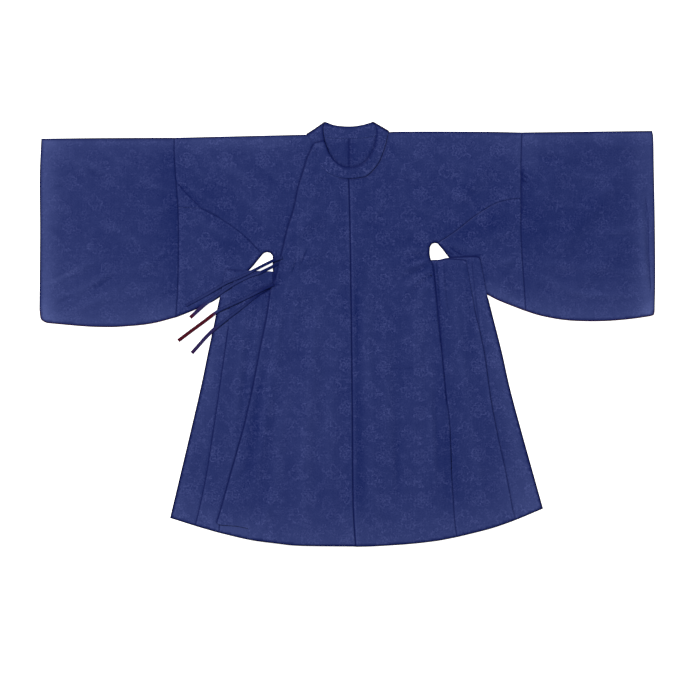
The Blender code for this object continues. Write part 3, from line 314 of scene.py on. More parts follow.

# How an edge is finished: how far inside its outline it stands, depth and width of its groove,
# height, place and width of the turned cloth beside it, share of painted shade (deep navy) on the
# very edge and its width, share of painted light (or painted shade) along it and its width, and
# height of the puckers. Lengths are in mm.
EDGE_COLUMNS = ("inset", "depth", "width", "rise", "rise_at", "rise_width", "dark",
                "dark_width", "glow", "glow_width", "pucker")
EDGES = {
    "seam": (SEAM_INSET, 1.0, 1.8, 0.40, 5.5, 2.8, 0.66, 2.4, 0.12, 7.0, 0.25),
    "side_seam": (SEAM_INSET, 1.0, 1.8, 0.40, 5.5, 2.8, 0.62, 2.5, 0.12, 7.0, 0.25),
    "sleeve_seam": (SEAM_INSET, 1.0, 1.8, 0.40, 5.5, 2.8, 0.70, 2.5, -0.05, 46.0, 0.50),
    "centre_seam": (SEAM_INSET, 1.3, 2.2, 0.50, 6.5, 3.0, 0.90, 2.9, 0.24, 8.0, 0.15),
    "back_seam": (SEAM_INSET, 1.0, 2.2, 0.30, 6.5, 3.0, 0.66, 4.4, 0.06, 8.0, 0.15),
    "curved_faint": (SEAM_INSET, 0.5, 1.6, 0.20, 5.0, 2.6, 0.16, 2.2, 0.05, 7.0, 0.50),
    "curved_seam": (SEAM_INSET, 0.8, 1.6, 0.35, 5.0, 2.6, 0.58, 2.2, 0.10, 7.0, 0.50),
    "neck_seam": (NECK_INSET, 0.6, 1.5, 0.20, 5.0, 2.5, 0.50, 5.0, 0.08, 8.0, 0.20),
    "neck_faint": (NECK_INSET, 0.2, 1.5, 0.20, 5.0, 2.5, 0.0, 2.0, 0.08, 8.0, 0.20),
    "neck_back": (BACK_NECK_INSET, 0.2, 1.5, 0.20, 5.0, 2.5, 0.0, 2.0, 0.08, 8.0, 0.20),
    "closing": (0.0, 0.5, 1.2, 0.30, 6.0, 2.6, 0.90, 3.2, 0.16, 9.0, 0.20),
    "free": (0.0, 0.5, 1.2, 0.30, 6.0, 2.6, 0.94, 3.3, 0.16, 9.0, 0.20),
    "open": (0.0, 0.5, 1.2, 0.30, 6.0, 2.6, 1.0, 7.0, 0.10, 9.0, 0.20),
    "step": (0.0, 0.3, 1.2, 0.15, 5.0, 2.6, 0.0, 2.2, 0.06, 7.5, 0.20),
    "panel_fold": (0.0, 0.5, 1.2, 0.30, 6.0, 2.6, 0.89, 3.0, 0.14, 9.0, 0.20),
    "panel_faint": (0.0, 0.5, 1.2, 0.10, 6.0, 2.6, 0.34, 2.4, 0.0, 9.0, 0.15),
    "panel_soft": (0.0, 0.5, 1.2, 0.20, 6.0, 2.6, 0.58, 2.8, 0.10, 9.0, 0.15),
    "panel_edge": (OUTER_INSET, 0.5, 1.2, 0.30, 6.0, 2.6, 1.0, 5.4, 0.26, 34.0, 0.15),
    "hem": (OUTER_INSET, 0.5, 1.2, 0.25, 6.0, 4.0, 1.0, 4.6, 0.28, 85.0, 0.15),
    "cuff_left": (0.0, 0.5, 1.2, 0.30, 6.0, 4.0, 1.0, 4.8, 0.68, 52.0, 0.15),
    "cuff_right": (0.0, 0.5, 1.2, 0.30, 6.0, 4.0, 1.0, 3.9, 0.46, 54.0, 0.15),
    "lined_hem": (0.0, 0.5, 1.2, 0.25, 6.0, 4.0, 1.0, 5.2, 0.50, 34.0, 0.15),
    "fold": (FOLD_INSET, 0.0, 1.0, 0.0, 6.0, 2.0, 1.0, 4.4, 0.18, 34.0, 0.0),
    "sleeve_fold": (FOLD_INSET, 0.0, 1.0, 0.0, 6.0, 2.0, 1.0, 4.8, 0.36, 34.0, 0.0),
    "lined_fold": (FOLD_INSET, 0.0, 1.0, 0.0, 6.0, 2.0, 1.0, 5.7, 0.42, 46.0, 0.0),
    "hidden": (SEAM_INSET, 0.2, 1.0, 0.0, 4.0, 2.0, 0.0, 1.0, 0.0, 10.0, 0.0),
    "hidden_neck": (NECK_INSET, 0.2, 1.0, 0.0, 4.0, 2.0, 0.0, 1.0, 0.0, 10.0, 0.0),
}
PUCKER_SIZE = 0.9         # about how far apart the puckers along a seam are, in cm
PUCKER_REACH = 9.0        # how far from the seam they reach, in mm
PUCKER_END = 19.8         # and where none is left
PUCKER_LONG = 0.35        # across the seam they change this much more slowly than along it
PUCKER_SEED = 11.0
CREASE_HEIGHT = 1.6       # all creases' heights are times this
CREASE_PAST = 0.15        # a crease runs out this share of its length past its two ends
CREASE_SIDE = 2.4         # and this many widths to its sides
CREASE_FALL = 1.6         # how steeply it falls to the sides
CREASE_LIGHT = 0.08       # share of painted light that a ridge takes for each mm of its height, painted shade in a trough
FOLD_TURN = 1.8           # a folded edge turns over this far inside it, in mm

# Dark lines of painted shade, on the pieces that they cross: across, down, across, down, bow (cm),
# share of painted shade (deep navy), width (mm). They are painted shade along pressed fold marks,
# seam allowances that show through and the step inside the right cuff, and at the stitches where
# the ties are sewn on both the stitches and their painted shade.
MARKS = [
    (12.5, 75.2, 24.7, 74.6, 0.0, 0.20, 1.4), (-55.0, 15.5, -47.2, 23.6, 0.3, 0.80, 2.1),
    (94.9, 20.5, 95.6, 25.5, 0.0, 0.48, 1.9), (95.7, 26.3, 96.6, 50.0, 0.2, 0.62, 2.0),
    (-47.0, 23.8, -40.5, 27.4, -0.4, 0.55, 2.4), (-34.0, 32.2, -28.3, 37.4, 0.2, 0.65, 2.0),
    (-36.5, 30.0, -31.0, 34.4, 0.2, 0.40, 1.6), (-23.3, 37.0, -23.0, 41.8, 0.0, 0.60, 2.6),
    (-23.2, 40.6, -22.0, 40.2, 0.0, 0.50, 3.0), (-22.6, 40.2, -21.4, 42.0, 0.0, 0.45, 3.0),
    (-24.0, 43.4, -23.8, 46.6, 0.0, 0.90, 7.5), (-23.7, 44.0, -24.3, 49.2, 0.1, 0.90, 9.5),
    (-22.6, 44.0, -22.2, 46.6, 0.0, 0.50, 4.0), (-24.2, 47.6, -25.8, 50.4, 0.0, 0.85, 10.0),
    (-24.6, 49.2, -30.4, 51.8, 0.3, 0.85, 11.0), (-22.4, 39.0, -21.8, 42.6, 0.0, 0.45, 5.0),
    (-24.6, 48.2, -21.9, 48.3, 0.0, 0.85, 3.0), (-23.4, 46.6, -21.6, 47.2, 0.0, 0.60, 2.4),
    (-25.2, 49.6, -28.2, 51.4, 0.0, 0.85, 5.0), (-24.4, 42.6, -26.6, 41.8, 0.0, 0.55, 3.0),
    (-24.8, 49.4, -25.0, 52.0, 0.1, 0.60, 2.2), (-24.7, 51.6, -25.0, 56.0, 0.0, 0.18, 2.0),
    (-26.6, 49.8, -26.8, 53.0, 0.0, 0.50, 2.0), (-39.5, 43.4, -33.6, 43.85, 0.0, 0.62, 2.6),
    (-39.6, 43.7, -40.9, 50.8, 0.0, 0.30, 1.8),
    (-21.6, 40.6, -21.0, 43.2, 0.0, 0.45, 1.8), (30.5, 41.5, 31.6, 56.0, 0.1, 0.30, 1.8),
    (28.1, 41.0, 29.3, 56.5, 0.1, 0.35, 1.8), (39.3, 40.6, 41.9, 62.0, 0.2, 0.50, 2.0),
    (27.2, 44.0, 29.8, 70.0, -0.1, 0.90, 4.2), (26.6, 40.6, 27.3, 46.0, 0.0, 0.80, 3.6),
    (29.8, 69.0, 31.4, 87.0, 0.0, 0.85, 3.4),
    (36.2, 38.9, 42.6, 38.6, 0.2, 0.60, 2.2), (32.6, 36.4, 36.4, 38.8, 0.2, 0.80, 3.0),
    (29.0, 35.2, 33.4, 38.8, 0.2, 0.80, 3.6),
    (55.8, 13.1, 57.3, 14.5, 0.0, 0.85, 2.4), (55.5, 14.4, 57.2, 15.9, 0.0, 0.85, 2.4),
    (55.9, 10.6, 56.3, 11.7, 0.0, 0.60, 2.0), (55.3, 11.2, 55.3, 16.4, 0.0, 0.88, 4.2),
    (55.3, 16.0, 55.3, 26.0, 0.0, 0.78, 3.0), (57.2, 16.0, 57.6, 17.4, 0.0, 0.40, 1.6),
    (-52.9, 6.0, -52.4, 11.5, 0.0, 0.18, 1.6),
    (-16.9, 39.4, -18.1, 44.6, 0.0, 0.35, 1.6), (-13.4, 37.0, -15.4, 41.8, 0.0, 0.30, 1.6),
    (-1.4, 25.0, -1.0, 60.0, 0.0, 0.16, 1.4), (25.3, -0.6, 29.8, 2.9, 0.0, 0.25, 1.6),
]
MARK_ROWS = (-2.2, -1.1, 0.0, 1.1, 2.2)   # rows of points along a mark, in its own widths
MARK_FADE = 1.0           # a mark fades over this far to its ends, in cm, a short one over a third
MARK_END = 0.25           # share of it that is left there

# Painted shade on a layer along the edge of the one that lies on it: share of painted shade (deep
# navy), width in mm
EDGE_ABOVE = (0.87, 3.8)
STEP_ABOVE = (0.05, 2.5)
PANEL_ABOVE = (0.45, 3.0)
FAINT_ABOVE = (0.42, 2.8)
CORNER_ABOVE = (0.90, 3.4)
NECK_SHADE = (0.62, 6.0)  # under the collar's front edge
PANEL_CORNER_LEFT = [(-39.6, 43.5), (-33.4, 43.95)]
# The lines of the side panels on the underarm pieces, along which painted shade falls
PANEL_LINES = {
    "left": [(PANEL_CORNER_LEFT, CORNER_ABOVE), (PANEL_OUTER_LEFT[:2], FAINT_ABOVE)],
    "right": [(PANEL_TOP_RIGHT, EDGE_ABOVE), (PANEL_OUTER_RIGHT[:2], FAINT_ABOVE)],
}

# Broad painted light and shade, as the satin takes the light where the cloth lies a little
# higher or lower: across, down, across, down, width (cm), share of light
TONES = [
    (1.6, 42.0, 2.2, 118.0, 3.2, -0.13), (-44.0, 24.0, 46.0, 24.0, 17.0, -0.08),
    (-98.0, 50.0, -66.0, 52.0, 7.0, 0.12), (-93.0, 8.0, -78.0, 12.0, 8.0, 0.06),
    (-94.0, 46.0, -84.0, 40.0, 7.0, 0.07),
    (-49.0, 2.6, -21.0, 2.2, 2.6, 0.20), (58.0, 0.0, 58.0, 9.0, 3.4, 0.24),
    (46.0, 2.0, 54.0, 5.0, 3.0, 0.12), (32.0, 33.0, 47.0, 29.0, 3.6, -0.14),
    (-55.0, 13.0, -35.0, 34.0, 5.5, -0.10), (44.0, 62.0, 53.0, 105.0, 3.2, 0.14),
    (52.0, 110.0, 58.0, 122.0, 5.0, 0.26), (-44.0, 72.0, -48.0, 98.0, 2.8, 0.10),
    (-50.0, 120.0, -42.0, 124.0, 3.0, 0.08), (-41.0, 124.0, -30.0, 126.5, 4.0, 0.08),
    (-27.5, 84.0, -27.5, 116.0, 4.6, -0.10), (31.5, 86.0, 33.0, 116.0, 5.0, -0.06),
    (28.5, 44.0, 30.5, 84.0, 2.2, -0.12), (-12.0, 5.0, 12.0, 5.0, 4.0, -0.09),
    (0.4, 4.0, 0.4, 14.0, 2.4, -0.10), (62.0, 29.0, 80.0, 26.0, 5.5, -0.10),
    (62.0, 50.0, 92.0, 51.5, 6.0, 0.12), (97.0, 46.0, 97.0, 56.0, 4.0, 0.12),
    (-55.8, 24.0, -56.0, 40.0, 3.0, -0.07), (-24.0, 46.0, -30.0, 52.0, 4.0, -0.12),
    (-10.0, 60.0, -12.0, 100.0, 5.0, 0.05), (22.0, 92.0, 20.0, 118.0, 4.5, 0.05),
    (13.0, 34.0, 25.0, 45.0, 5.0, -0.09), (-38.0, 88.0, -37.0, 108.0, 2.4, 0.07),
    (-90.0, 22.0, -80.0, 30.0, 6.0, 0.03), (-19.0, 30.0, -20.0, 38.0, 3.4, -0.08),
    (13.0, 56.0, 13.0, 104.0, 7.0, -0.05), (-21.0, 60.0, -15.0, 74.0, 5.5, -0.07),
    (96.5, 1.0, 96.5, 22.0, 3.0, -0.08), (96.5, 40.0, 97.0, 54.0, 3.0, 0.08),
    (44.0, 64.0, 50.0, 104.0, 6.0, -0.06), (-86.0, 55.0, -60.0, 54.0, 4.5, 0.07),
    (60.0, 54.0, 84.0, 55.5, 4.5, 0.06),
]

# How the layers lie, and where their looks change
LIFT_FULL = 2.0           # the side panels lie on the sleeve this far past its edge, in cm
LIFT_END = 6.5            # and are back on the surface here
FRONT_FALL = (2.5, 12.0)  # where the outer front comes down off the inner one, and over how far
OVERLAP_CLIMB = (1.0, 14.0)           # where its extension climbs on to it, likewise, in cm
UNEVEN = ((0.30, 8.0, 0.0), (0.10, 2.8, 7.0))   # height in mm, size of the waves in cm, seed
UNDERSIDE_UNEVEN = (0.3, 7.0, 5.0)
RIM_BULGE = 0.7           # how round a cut or turned edge is, in half walls
ON_RIM = 0.01             # this near the rim's own height, in mm, a point lies on it
LINING_SHOWS = 0.75       # share of the dark red lining's colour on the very edge
LINING_WIDTH = 1.6        # how far in it reaches, in mm
SLEEVE_TONE = -0.04       # the sleeves' middles are a little darker
SLEEVE_PLAIN = 0.25       # and their pattern shows less
FACING_END = -31.0        # the plain facing on the inner front's hem: its end and width, in cm
FACING_WIDTH = 4.6
FACING_LIGHT = 0.22
FOLD_MIDDLE = (WALL + LAYER) / 2      # height at which the two layers of a folded edge meet
FOLD_GAP = 0.05           # how far each side of it the front's and the back's edges are, in mm

# The collar's band: rows of points along it, and their places across it from its seam
BAND_ROWS = 200
BAND_FRONT = 15           # sections of the table that lie in front of the neck
BAND_SECTIONS = 120       # steps in which its length is measured
BAND_PLACES = (0.0, 0.03, 0.08, 0.16, 0.3, 0.45, 0.6, 0.74, 0.86, 0.93, 0.975, 1.0)
BAND_ON_TOP = (3.6, 1.0)  # it is rounded where its seam lies higher than this: from, over, in mm
BAND_CROWN = 0.5          # rise of its middle, in mm
# Fall of its turned edges, at the seam and on top: mm, share of its width
BAND_ROLLS = ((0.7, 0.03), (0.9, 0.025))
# Share of painted shade (deep navy) along the band's seam: share of its length, share of painted
# shade
BAND_SEAM_DARK = [(0.0, 0.0), (0.21, 0.0), (0.25, 0.4), (0.42, 0.3), (0.48, 0.0), (1.0, 0.0)]
BAND_SEAM_LINE = 0.06     # the line's width, as a share of the band's
BAND_SEAM_LIGHT = (0.60, 0.15, 0.07)  # painted light on the turned edge beside it: share, place, width
BAND_TOP_DARK = (0.88, 1.0)           # share of painted shade (deep navy) on the top edge, in front and behind
BAND_TOP_LINE = 0.13      # that line's width, as a share of the band's
BAND_BEHIND = (15.0, 22.6)            # between these sections it lies behind the neck
BAND_END_DARK = 0.88      # share of painted shade (deep navy) on the free end
BAND_END_ROWS = 2         # and its rows
# Painted light beside the free end: share, row and rows along the band, place and width across it
BAND_END_LIGHT = (0.45, 4.5, 2.5, 0.3, 0.35)
BAND_TONE = 0.04          # share of painted light on all of it
# Painted shade along the slopes from the shoulders up to the band's peaks: across, down, and width
# in cm
BAND_SLOPES = [[(-13.5, 0.0), (-7.9, -3.8)], [(12.8, -0.95), (7.8, -3.9)]]
BAND_SLOPE_WIDTH = 0.68

# The ribbons: rows of points along them, and their places across in half widths
TIE_ROWS = 120
TIE_EDGE_DARK = 0.88      # share of painted shade (deep navy) on its edges
TIE_EDGE_FROM = 0.6       # which starts at this share of its half width
TIE_LIGHT = 0.24          # share of painted light on its middle
TIE_ROLL = 0.25           # its edges lie this much lower, in mm
TIE_RED_LOSS = 0.4        # and show this much less of the dark red
TIE_ROOT = 0.16           # share of its length over which its edges grow dark
TIE_END = 0.25            # the cut end reaches this far past the solid's, in cm
TIE_PLACES = (-1.0, -0.85, -0.5, 0.0, 0.5, 0.85, 1.0)
# Looks along each ribbon: share of its length, share of painted shade (deep navy), share of dark
# red, width in mm
TIE_LOOKS = {
    "tie_1": [(0.0, 0.35, 0.0, 9.0), (0.12, 0.45, 0.0, 9.0), (0.19, 0.90, 0.0, 9.4),
              (0.42, 0.90, 0.0, 9.4), (0.46, 0.12, 0.0, 9.0), (0.94, 0.15, 0.0, 9.8),
              (0.98, 0.35, 0.0, 9.0)],
    "tie_2": [(0.0, 0.8, 0.0, 9.0), (0.06, 0.90, 0.0, 9.4), (0.25, 0.90, 0.0, 9.4),
              (0.30, 0.12, 0.0, 9.0), (0.62, 0.12, 0.0, 9.0), (0.76, 0.2, 0.0, 10.6),
              (0.83, 0.5, 0.18, 11.4), (0.95, 0.6, 0.25, 11.4), (0.98, 0.3, 0.9, 11.4)],
    "tie_3": [(0.0, 0.75, 0.0, 9.0), (0.14, 0.7, 0.0, 9.0), (0.24, 0.1, 0.0, 9.0),
              (0.68, 0.15, 0.0, 9.6), (0.73, 0.3, 1.0, 11.4), (1.0, 0.2, 1.0, 11.4)],
    "tie_4": [(0.0, 0.75, 0.0, 9.0), (0.2, 0.7, 0.0, 9.0), (0.34, 0.25, 0.0, 9.0),
              (0.60, 0.2, 0.0, 9.6), (0.68, 0.5, 0.16, 11.4), (0.94, 0.6, 0.25, 11.4),
              (1.0, 0.6, 0.45, 11.4)],
}

# Repeat of the woven pattern, in cm, and where its three motifs stand in it
REPEAT = (12.16, 14.0)
BLOSSOM_PLACE = (7.3, 1.7)
CLOUD_PLACE = (-0.8, 9.3)
SPRIG_PLACE = (3.4, 5.2)
CURLS = 0.50              # strength of the loose curls between the motifs
LOOPS = 0.44              # and of the loops that fill them
AROUND = 0.12             # how much darker the ground is right beside a motif
SPRIG_FAINT = 0.10        # the sprigs' strokes are this much finer, in cm
BENDS = ((0.55, 1.5), (1.3, 1.0))     # the chart's unevenness: waves a cm, and how far in cm
PETALS = 6

# Colours, in linear light
NAVY = (0.0155, 0.0251, 0.1132)
MOTIF = (0.0520, 0.0660, 0.2050)      # where the pattern is drawn in full
SHEEN_AND_UNEVENNESS_TINT = (0.0320, 0.0390, 0.0820)      # what painted light and shade, such as the satin's sheen, and the cloth's random unevenness add or take
INSIDE = (0.0150, 0.0235, 0.1060)     # the cloth's plain inner side
RIBBON = (0.0130, 0.0210, 0.1000)
# Painted shade: the navy mixed in where seams, grooves, turned edges, upper layers' edges and the
# marks shade the cloth
PAINTED_SHADE_NAVY = (0.0, 0.0034, 0.0590)
PAINTED_EDGE_SHADE = (0.0035, 0.0014, 0.0130)  # painted shade on the very edge, where the cloth turns under, away from the light
EDGE_SHOWS = (0.91, 1.0)  # shares of painted shade between which the very edge's darker painted shade comes in
LINING_RED = (0.0600, 0.0020, 0.0060)
DARKEST = (0.001, 0.002, 0.006)       # no part of the cloth is darker before its marks
ROUGHNESS = 0.5

# The plain pale surface and the light
FLOOR_SIDE = 40.0
FLOOR_HEIGHT = -0.0006
FLOOR_GLOW = 0.85         # a lit surface, so it stays white in the picture
WORLD_LIGHT = 0.42
LAMP_PLACE = (-10.0, 12.5, 17.5)
LAMP_SIZE = 6.0
LAMP_POWER = 5900.0


def smoothstep(value):
    value = np.clip(value, 0.0, 1.0)
    return value * value * (3.0 - 2.0 * value)


def fade(distance, width, power=2):
    """1 at no distance, and falling away softly over a width."""
    return np.exp(-(distance / width) ** power)


def unit(ways):
    """Directions with a length of 1."""
    return ways / np.maximum(np.linalg.norm(ways, axis=1), 1e-12)[:, None]


def length_of(line):
    """Length of a line through points."""
    return sum(math.dist(a, b) for a, b in zip(line, line[1:]))


def to_world(points, heights):
    """Pattern points (cm) and their heights (mm) as an array in metres."""
    points = np.asarray(points, float)
    return np.column_stack(((points[:, 0] - CENTRE_ACROSS) * CM,
                            (CENTRE_DOWN - points[:, 1]) * CM,
                            np.asarray(heights, float) * MM))


def catmull_rom(points, share):
    """The point at a share (0 to 1) of a smooth curve through points of any dimension."""
    last = len(points) - 1
    place = min(max(share, 0.0), 1.0) * last
    index = min(int(place), last - 1)
    t = place - index
    p1, p2 = points[index], points[index + 1]
    p0 = points[index - 1] if index > 0 else tuple(2 * a - b for a, b in zip(p1, p2))
    p3 = points[index + 2] if index + 2 <= last else tuple(2 * b - a for a, b in zip(p1, p2))
    return tuple(
        0.5 * (2 * b + (c - a) * t + (2 * a - 5 * b + 4 * c - d) * t ** 2
               + (3 * b - a - 3 * c + d) * t ** 3)
        for a, b, c, d in zip(p0, p1, p2, p3))


def smooth_edge(points, step=FINE_STEP):
    """An edge's points about a step apart, with its own ends and its table's points kept."""
    result = [points[0]]
    last = len(points) - 1
    for index in range(last):
        parts = max(1, round(math.dist(points[index], points[index + 1]) / step))
        result += [catmull_rom(points, (index + k / parts) / last) for k in range(1, parts + 1)]
    return result


def reverse(points):
    return list(reversed(points))


def hem_between(left, right):
    """The hem's points between two lines that end on it."""
    return [point for point in HEM if left[-1][0] - 1e-6 <= point[0] <= right[-1][0] + 1e-6]


def outline(edges, extra=0.0):
    """A closed outline from (points, finish) edges, moved in by their insets and extra mm."""
    corners, insets = [], []
    for points, finish in edges:
        for point in smooth_edge(points)[:-1]:
            corners.append(Vector(point))
            insets.append((EDGES[finish][0] + extra) * MM / CM)
    count = len(corners)
    area = sum(corners[i].x * -corners[(i + 1) % count].y
               + corners[i].y * corners[(i + 1) % count].x for i in range(count))
    side = 1.0 if area > 0 else -1.0
    result = []
    for i in range(count):
        before, here, after = corners[i - 1], corners[i], corners[(i + 1) % count]
        back, ahead = (here - before).normalized(), (after - here).normalized()
        normal_1 = Vector((back.y, -back.x)) * side
        normal_2 = Vector((ahead.y, -ahead.x)) * side
        inset_1, inset_2 = insets[i - 1], insets[i]
        cross = normal_1.x * normal_2.y - normal_1.y * normal_2.x
        if abs(cross) < 0.15:
            move = (normal_1 + normal_2).normalized() * max(inset_1, inset_2)
        else:
            move = Vector(((inset_1 * normal_2.y - inset_2 * normal_1.y) / cross,
                           (inset_2 * normal_1.x - inset_1 * normal_2.x) / cross))
        result.append(tuple(here + move))
    return result if side > 0 else reverse(result)


def line_distance(points, line):
    """Distance from each point to an open line, and how far along the line that is."""
    points = np.asarray(points, float)
    line = np.asarray(line, float)
    start, run = line[:-1], line[1:] - line[:-1]
    length_2 = np.maximum((run ** 2).sum(1), 1e-12)
    along = np.concatenate(([0.0], np.cumsum(np.sqrt(length_2))[:-1]))
    distance, place = np.empty(len(points)), np.empty(len(points))
    for first in range(0, len(points), CHUNK):
        part = points[first:first + CHUNK, None, :]
        t = np.clip(((part - start) * run).sum(2) / length_2, 0.0, 1.0)
        gap = ((part - start - t[..., None] * run) ** 2).sum(2)
        best = gap.argmin(1)
        rows = np.arange(len(best))
        distance[first:first + CHUNK] = np.sqrt(gap[rows, best])
        place[first:first + CHUNK] = along[best] + t[rows, best] * np.sqrt(length_2[best])
    return distance, place


def inside(points, polygon):
    """Whether each point lies inside a closed outline."""
    points = np.asarray(points, float)
    a = np.asarray(polygon, float)
    b = np.roll(a, -1, axis=0)
    result = np.zeros(len(points), bool)
    for first in range(0, len(points), CHUNK):
        x = points[first:first + CHUNK, 0:1]
        y = points[first:first + CHUNK, 1:2]
        spans = (a[:, 1] > y) != (b[:, 1] > y)
        rise = np.where(b[:, 1] == a[:, 1], 1.0, b[:, 1] - a[:, 1])
        left = x < (b[:, 0] - a[:, 0]) * (y - a[:, 1]) / rise + a[:, 0]
        result[first:first + CHUNK] = (spans & left).sum(1) % 2 == 1
    return result


def lattice(border, spacing):
    """Staggered rows of points inside a closed outline."""
    row_step = spacing * math.sqrt(0.75)
    low, high = np.min(border, axis=0), np.max(border, axis=0)
    rows = []
    for row in range(math.floor(low[1] / row_step), math.ceil(high[1] / row_step) + 1):
        across = np.arange(low[0], high[0], spacing) + 0.5 * spacing * (row % 2)
        rows.append(np.column_stack((across, np.full(len(across), row * row_step))))
    points = np.concatenate(rows)
    return points[inside(points, border)]


def fill(edges, spacing, lines=()):
    """Points and triangles that fill an outline, with rows of points along its edges."""
    rings = [outline(edges, inset) for inset in RINGS]
    points, links = [], []
    for ring in rings:
        start, count = len(points), len(ring)
        points += ring
        links += [(start + i, start + (i + 1) % count) for i in range(count)]
    for line in lines:
        start = len(points)
        points += line
        links += [(start + i, start + i + 1) for i in range(len(line) - 1)]
    grid = lattice(rings[0], spacing)
    clear = inside(grid, rings[-1])
    for line in [rings[-1] + rings[-1][:1], *lines]:
        clear &= line_distance(grid, line)[0] > KEPT_CLEAR * spacing
    points += [tuple(p) for p in grid[clear]]
    filled = delaunay_2d_cdt([Vector(p) for p in points], links, [], 0, 1e-6, False)
    corners = np.array([tuple(p) for p in filled[0]])
    faces = np.array([tuple(face) for face in filled[2]])
    faces = faces[inside(corners[faces].mean(1), rings[0])]
    used = np.unique(faces)
    place = np.full(len(corners), -1)
    place[used] = np.arange(len(used))
    return corners[used], place[faces], rings[0]


def fold_relief(points):
    """Height of the largest folds, the same as in the solids, in mm."""
    total = np.zeros(len(points))
    for across_0, down_0, across_1, down_1, width, height in FOLDS:
        run = np.array((across_1 - across_0, down_1 - down_0))
        away = points - (across_0, down_0)
        t = away @ run / (run @ run)
        side = np.linalg.norm(away - t[:, None] * run, axis=1) / width
        on = (t > 0) & (t < 1) & (side < 1)
        rise = np.zeros(len(points))
        rise[on] = (height * np.sin(np.pi * t[on]) ** 0.8 * (1 - smoothstep(side[on])))
        total = np.maximum(total, rise)
    return total


def crease_relief(points):
    """Height of the listed creases, in mm."""
    total = np.zeros(len(points))
    for across_0, down_0, across_1, down_1, bow, width, height in CREASES:
        run = np.array((across_1 - across_0, down_1 - down_0))
        length = np.linalg.norm(run)
        side_way = np.array((-run[1], run[0])) / length
        away = points - (across_0, down_0)
        t = away @ run / length ** 2
        side = (away @ side_way - bow * 4 * t * (1 - t)) / width
        on = (t > -CREASE_PAST) & (t < 1 + CREASE_PAST) & (np.abs(side) < CREASE_SIDE)
        span = np.clip((t[on] + CREASE_PAST) / (1 + 2 * CREASE_PAST), 0, 1)
        total[on] += (CREASE_HEIGHT * height * np.sin(np.pi * span) ** 0.9
                      * np.exp(-CREASE_FALL * side[on] ** 2))
    return total


def ripple(points, size, seed):
    """Soft unevenness of cloth, between -1 and 1, with waves about size cm long."""
    return np.array([noise.noise(Vector((x / size, y / size, seed))) for x, y in points]) * 2.0


def layer(number):
    """Height of the middle of a layer of cloth, in mm; layer 0 lies on the surface."""
    return WALL / 2 + LAYER * number


def swelling(place):
    """How the turned cloth along an edge swells and thins, from place to place in cm."""
    return 1.0 + 0.25 * np.sin(place * 1.7) * np.sin(place * 0.6 + 1.0)


def finish_edges(points, edges, heights, middle=None):
    """Grooves, turned cloth, and painted shade and painted light along the edges of a piece."""
    dip, rise, dark, glow = np.zeros((4, len(points)))
    result = heights.copy()
    for edge_points, finish in edges:
        form = dict(zip(EDGE_COLUMNS, EDGES[finish]))
        away, place = line_distance(points, smooth_edge(edge_points))
        away = away * 10
        dip = np.maximum(dip, form["depth"] * fade(away, form["width"]))
        rise = np.maximum(rise, form["rise"] * swelling(place)
                          * fade(away - form["rise_at"], form["rise_width"]))
        # Painted shade on the very edge, and painted light (or shade) beside it
        dark = np.maximum(dark, form["dark"] * fade(away, form["dark_width"], 4))
        glow += form["glow"] * fade(away, form["glow_width"])
        near = (away < PUCKER_END) & (form["pucker"] > 0)
        puckers = np.column_stack((place[near], PUCKER_LONG * away[near] / 10))
        result[near] += (form["pucker"] * fade(away[near], PUCKER_REACH)
                         * ripple(puckers, PUCKER_SIZE, PUCKER_SEED))
        if finish.endswith("fold") and middle is not None:
            away = away - form["inset"]
            turn = np.clip((FOLD_TURN - away) / FOLD_TURN, 0.0, 1.0)
            result = np.where(away < FOLD_TURN,
                              middle + (result - middle) * np.sqrt(1 - turn ** 2), result)
    return result - dip + rise, dark, glow


def beside(line, offset):
    """A line moved to its side by an offset, in cm."""
    line = np.asarray(line, float)
    run = np.gradient(line, axis=0)
    side = unit(np.column_stack((-run[:, 1], run[:, 0])))
    return [tuple(point) for point in line + offset * side]


def mark_line(across_0, down_0, across_1, down_1, bow):
    """A smooth line between two places, bowed to its side."""
    start, end = Vector((across_0, down_0)), Vector((across_1, down_1))
    run = end - start
    side = Vector((-run.y, run.x)).normalized()
    return smooth_edge([tuple(start), tuple(start + run / 2 + side * bow), tuple(end)])


def marks_on(edges):
    """The listed marks of painted shade that cross a piece, as (line, share, width)."""
    border = outline(edges)
    marks = [(mark_line(*row[:5]), *row[5:]) for row in MARKS]
    return [mark for mark in marks if inside(mark[0], border).any()]


def mark_rows(marks):
    """Rows of points along each mark, which its shade needs."""
    return [beside(line, row * width * MM / CM) for line, _, width in marks for row in MARK_ROWS]


def add_marks(points, dark, marks):
    """Paints shade on the cloth along its marks, less towards their ends."""
    for line, share, width in marks:
        away, place = line_distance(points, line)
        length = length_of(line)
        ends = np.minimum(place, length - place) / min(MARK_FADE, length / 3) + MARK_END
        dark = np.maximum(dark, share * smoothstep(ends) * fade(away * 10, width))
    return dark


def open_edges(faces):
    """The edges that one face alone has, and which face that is."""
    ends = np.concatenate((faces[:, (0, 1)], faces[:, (1, 2)], faces[:, (2, 0)]))
    owner = np.tile(np.arange(len(faces)), 3)
    _, which, times = np.unique(np.sort(ends, axis=1), axis=0, return_inverse=True,
                                return_counts=True)
    single = times[which.ravel()] == 1
    return ends[single], owner[single]


def add_mesh(name, vertices, polygons, materials, mats):
    """A new object of a mesh, with the number of its material for each face."""
    mesh = bpy.data.meshes.new(name)
    mesh.from_pydata(vertices, [], polygons)
    for mat in mats:
        mesh.materials.append(mat)
    mesh.polygons.foreach_set("material_index", materials)
    obj = bpy.data.objects.new(name, mesh)
    bpy.context.scene.collection.objects.link(obj)
    return obj


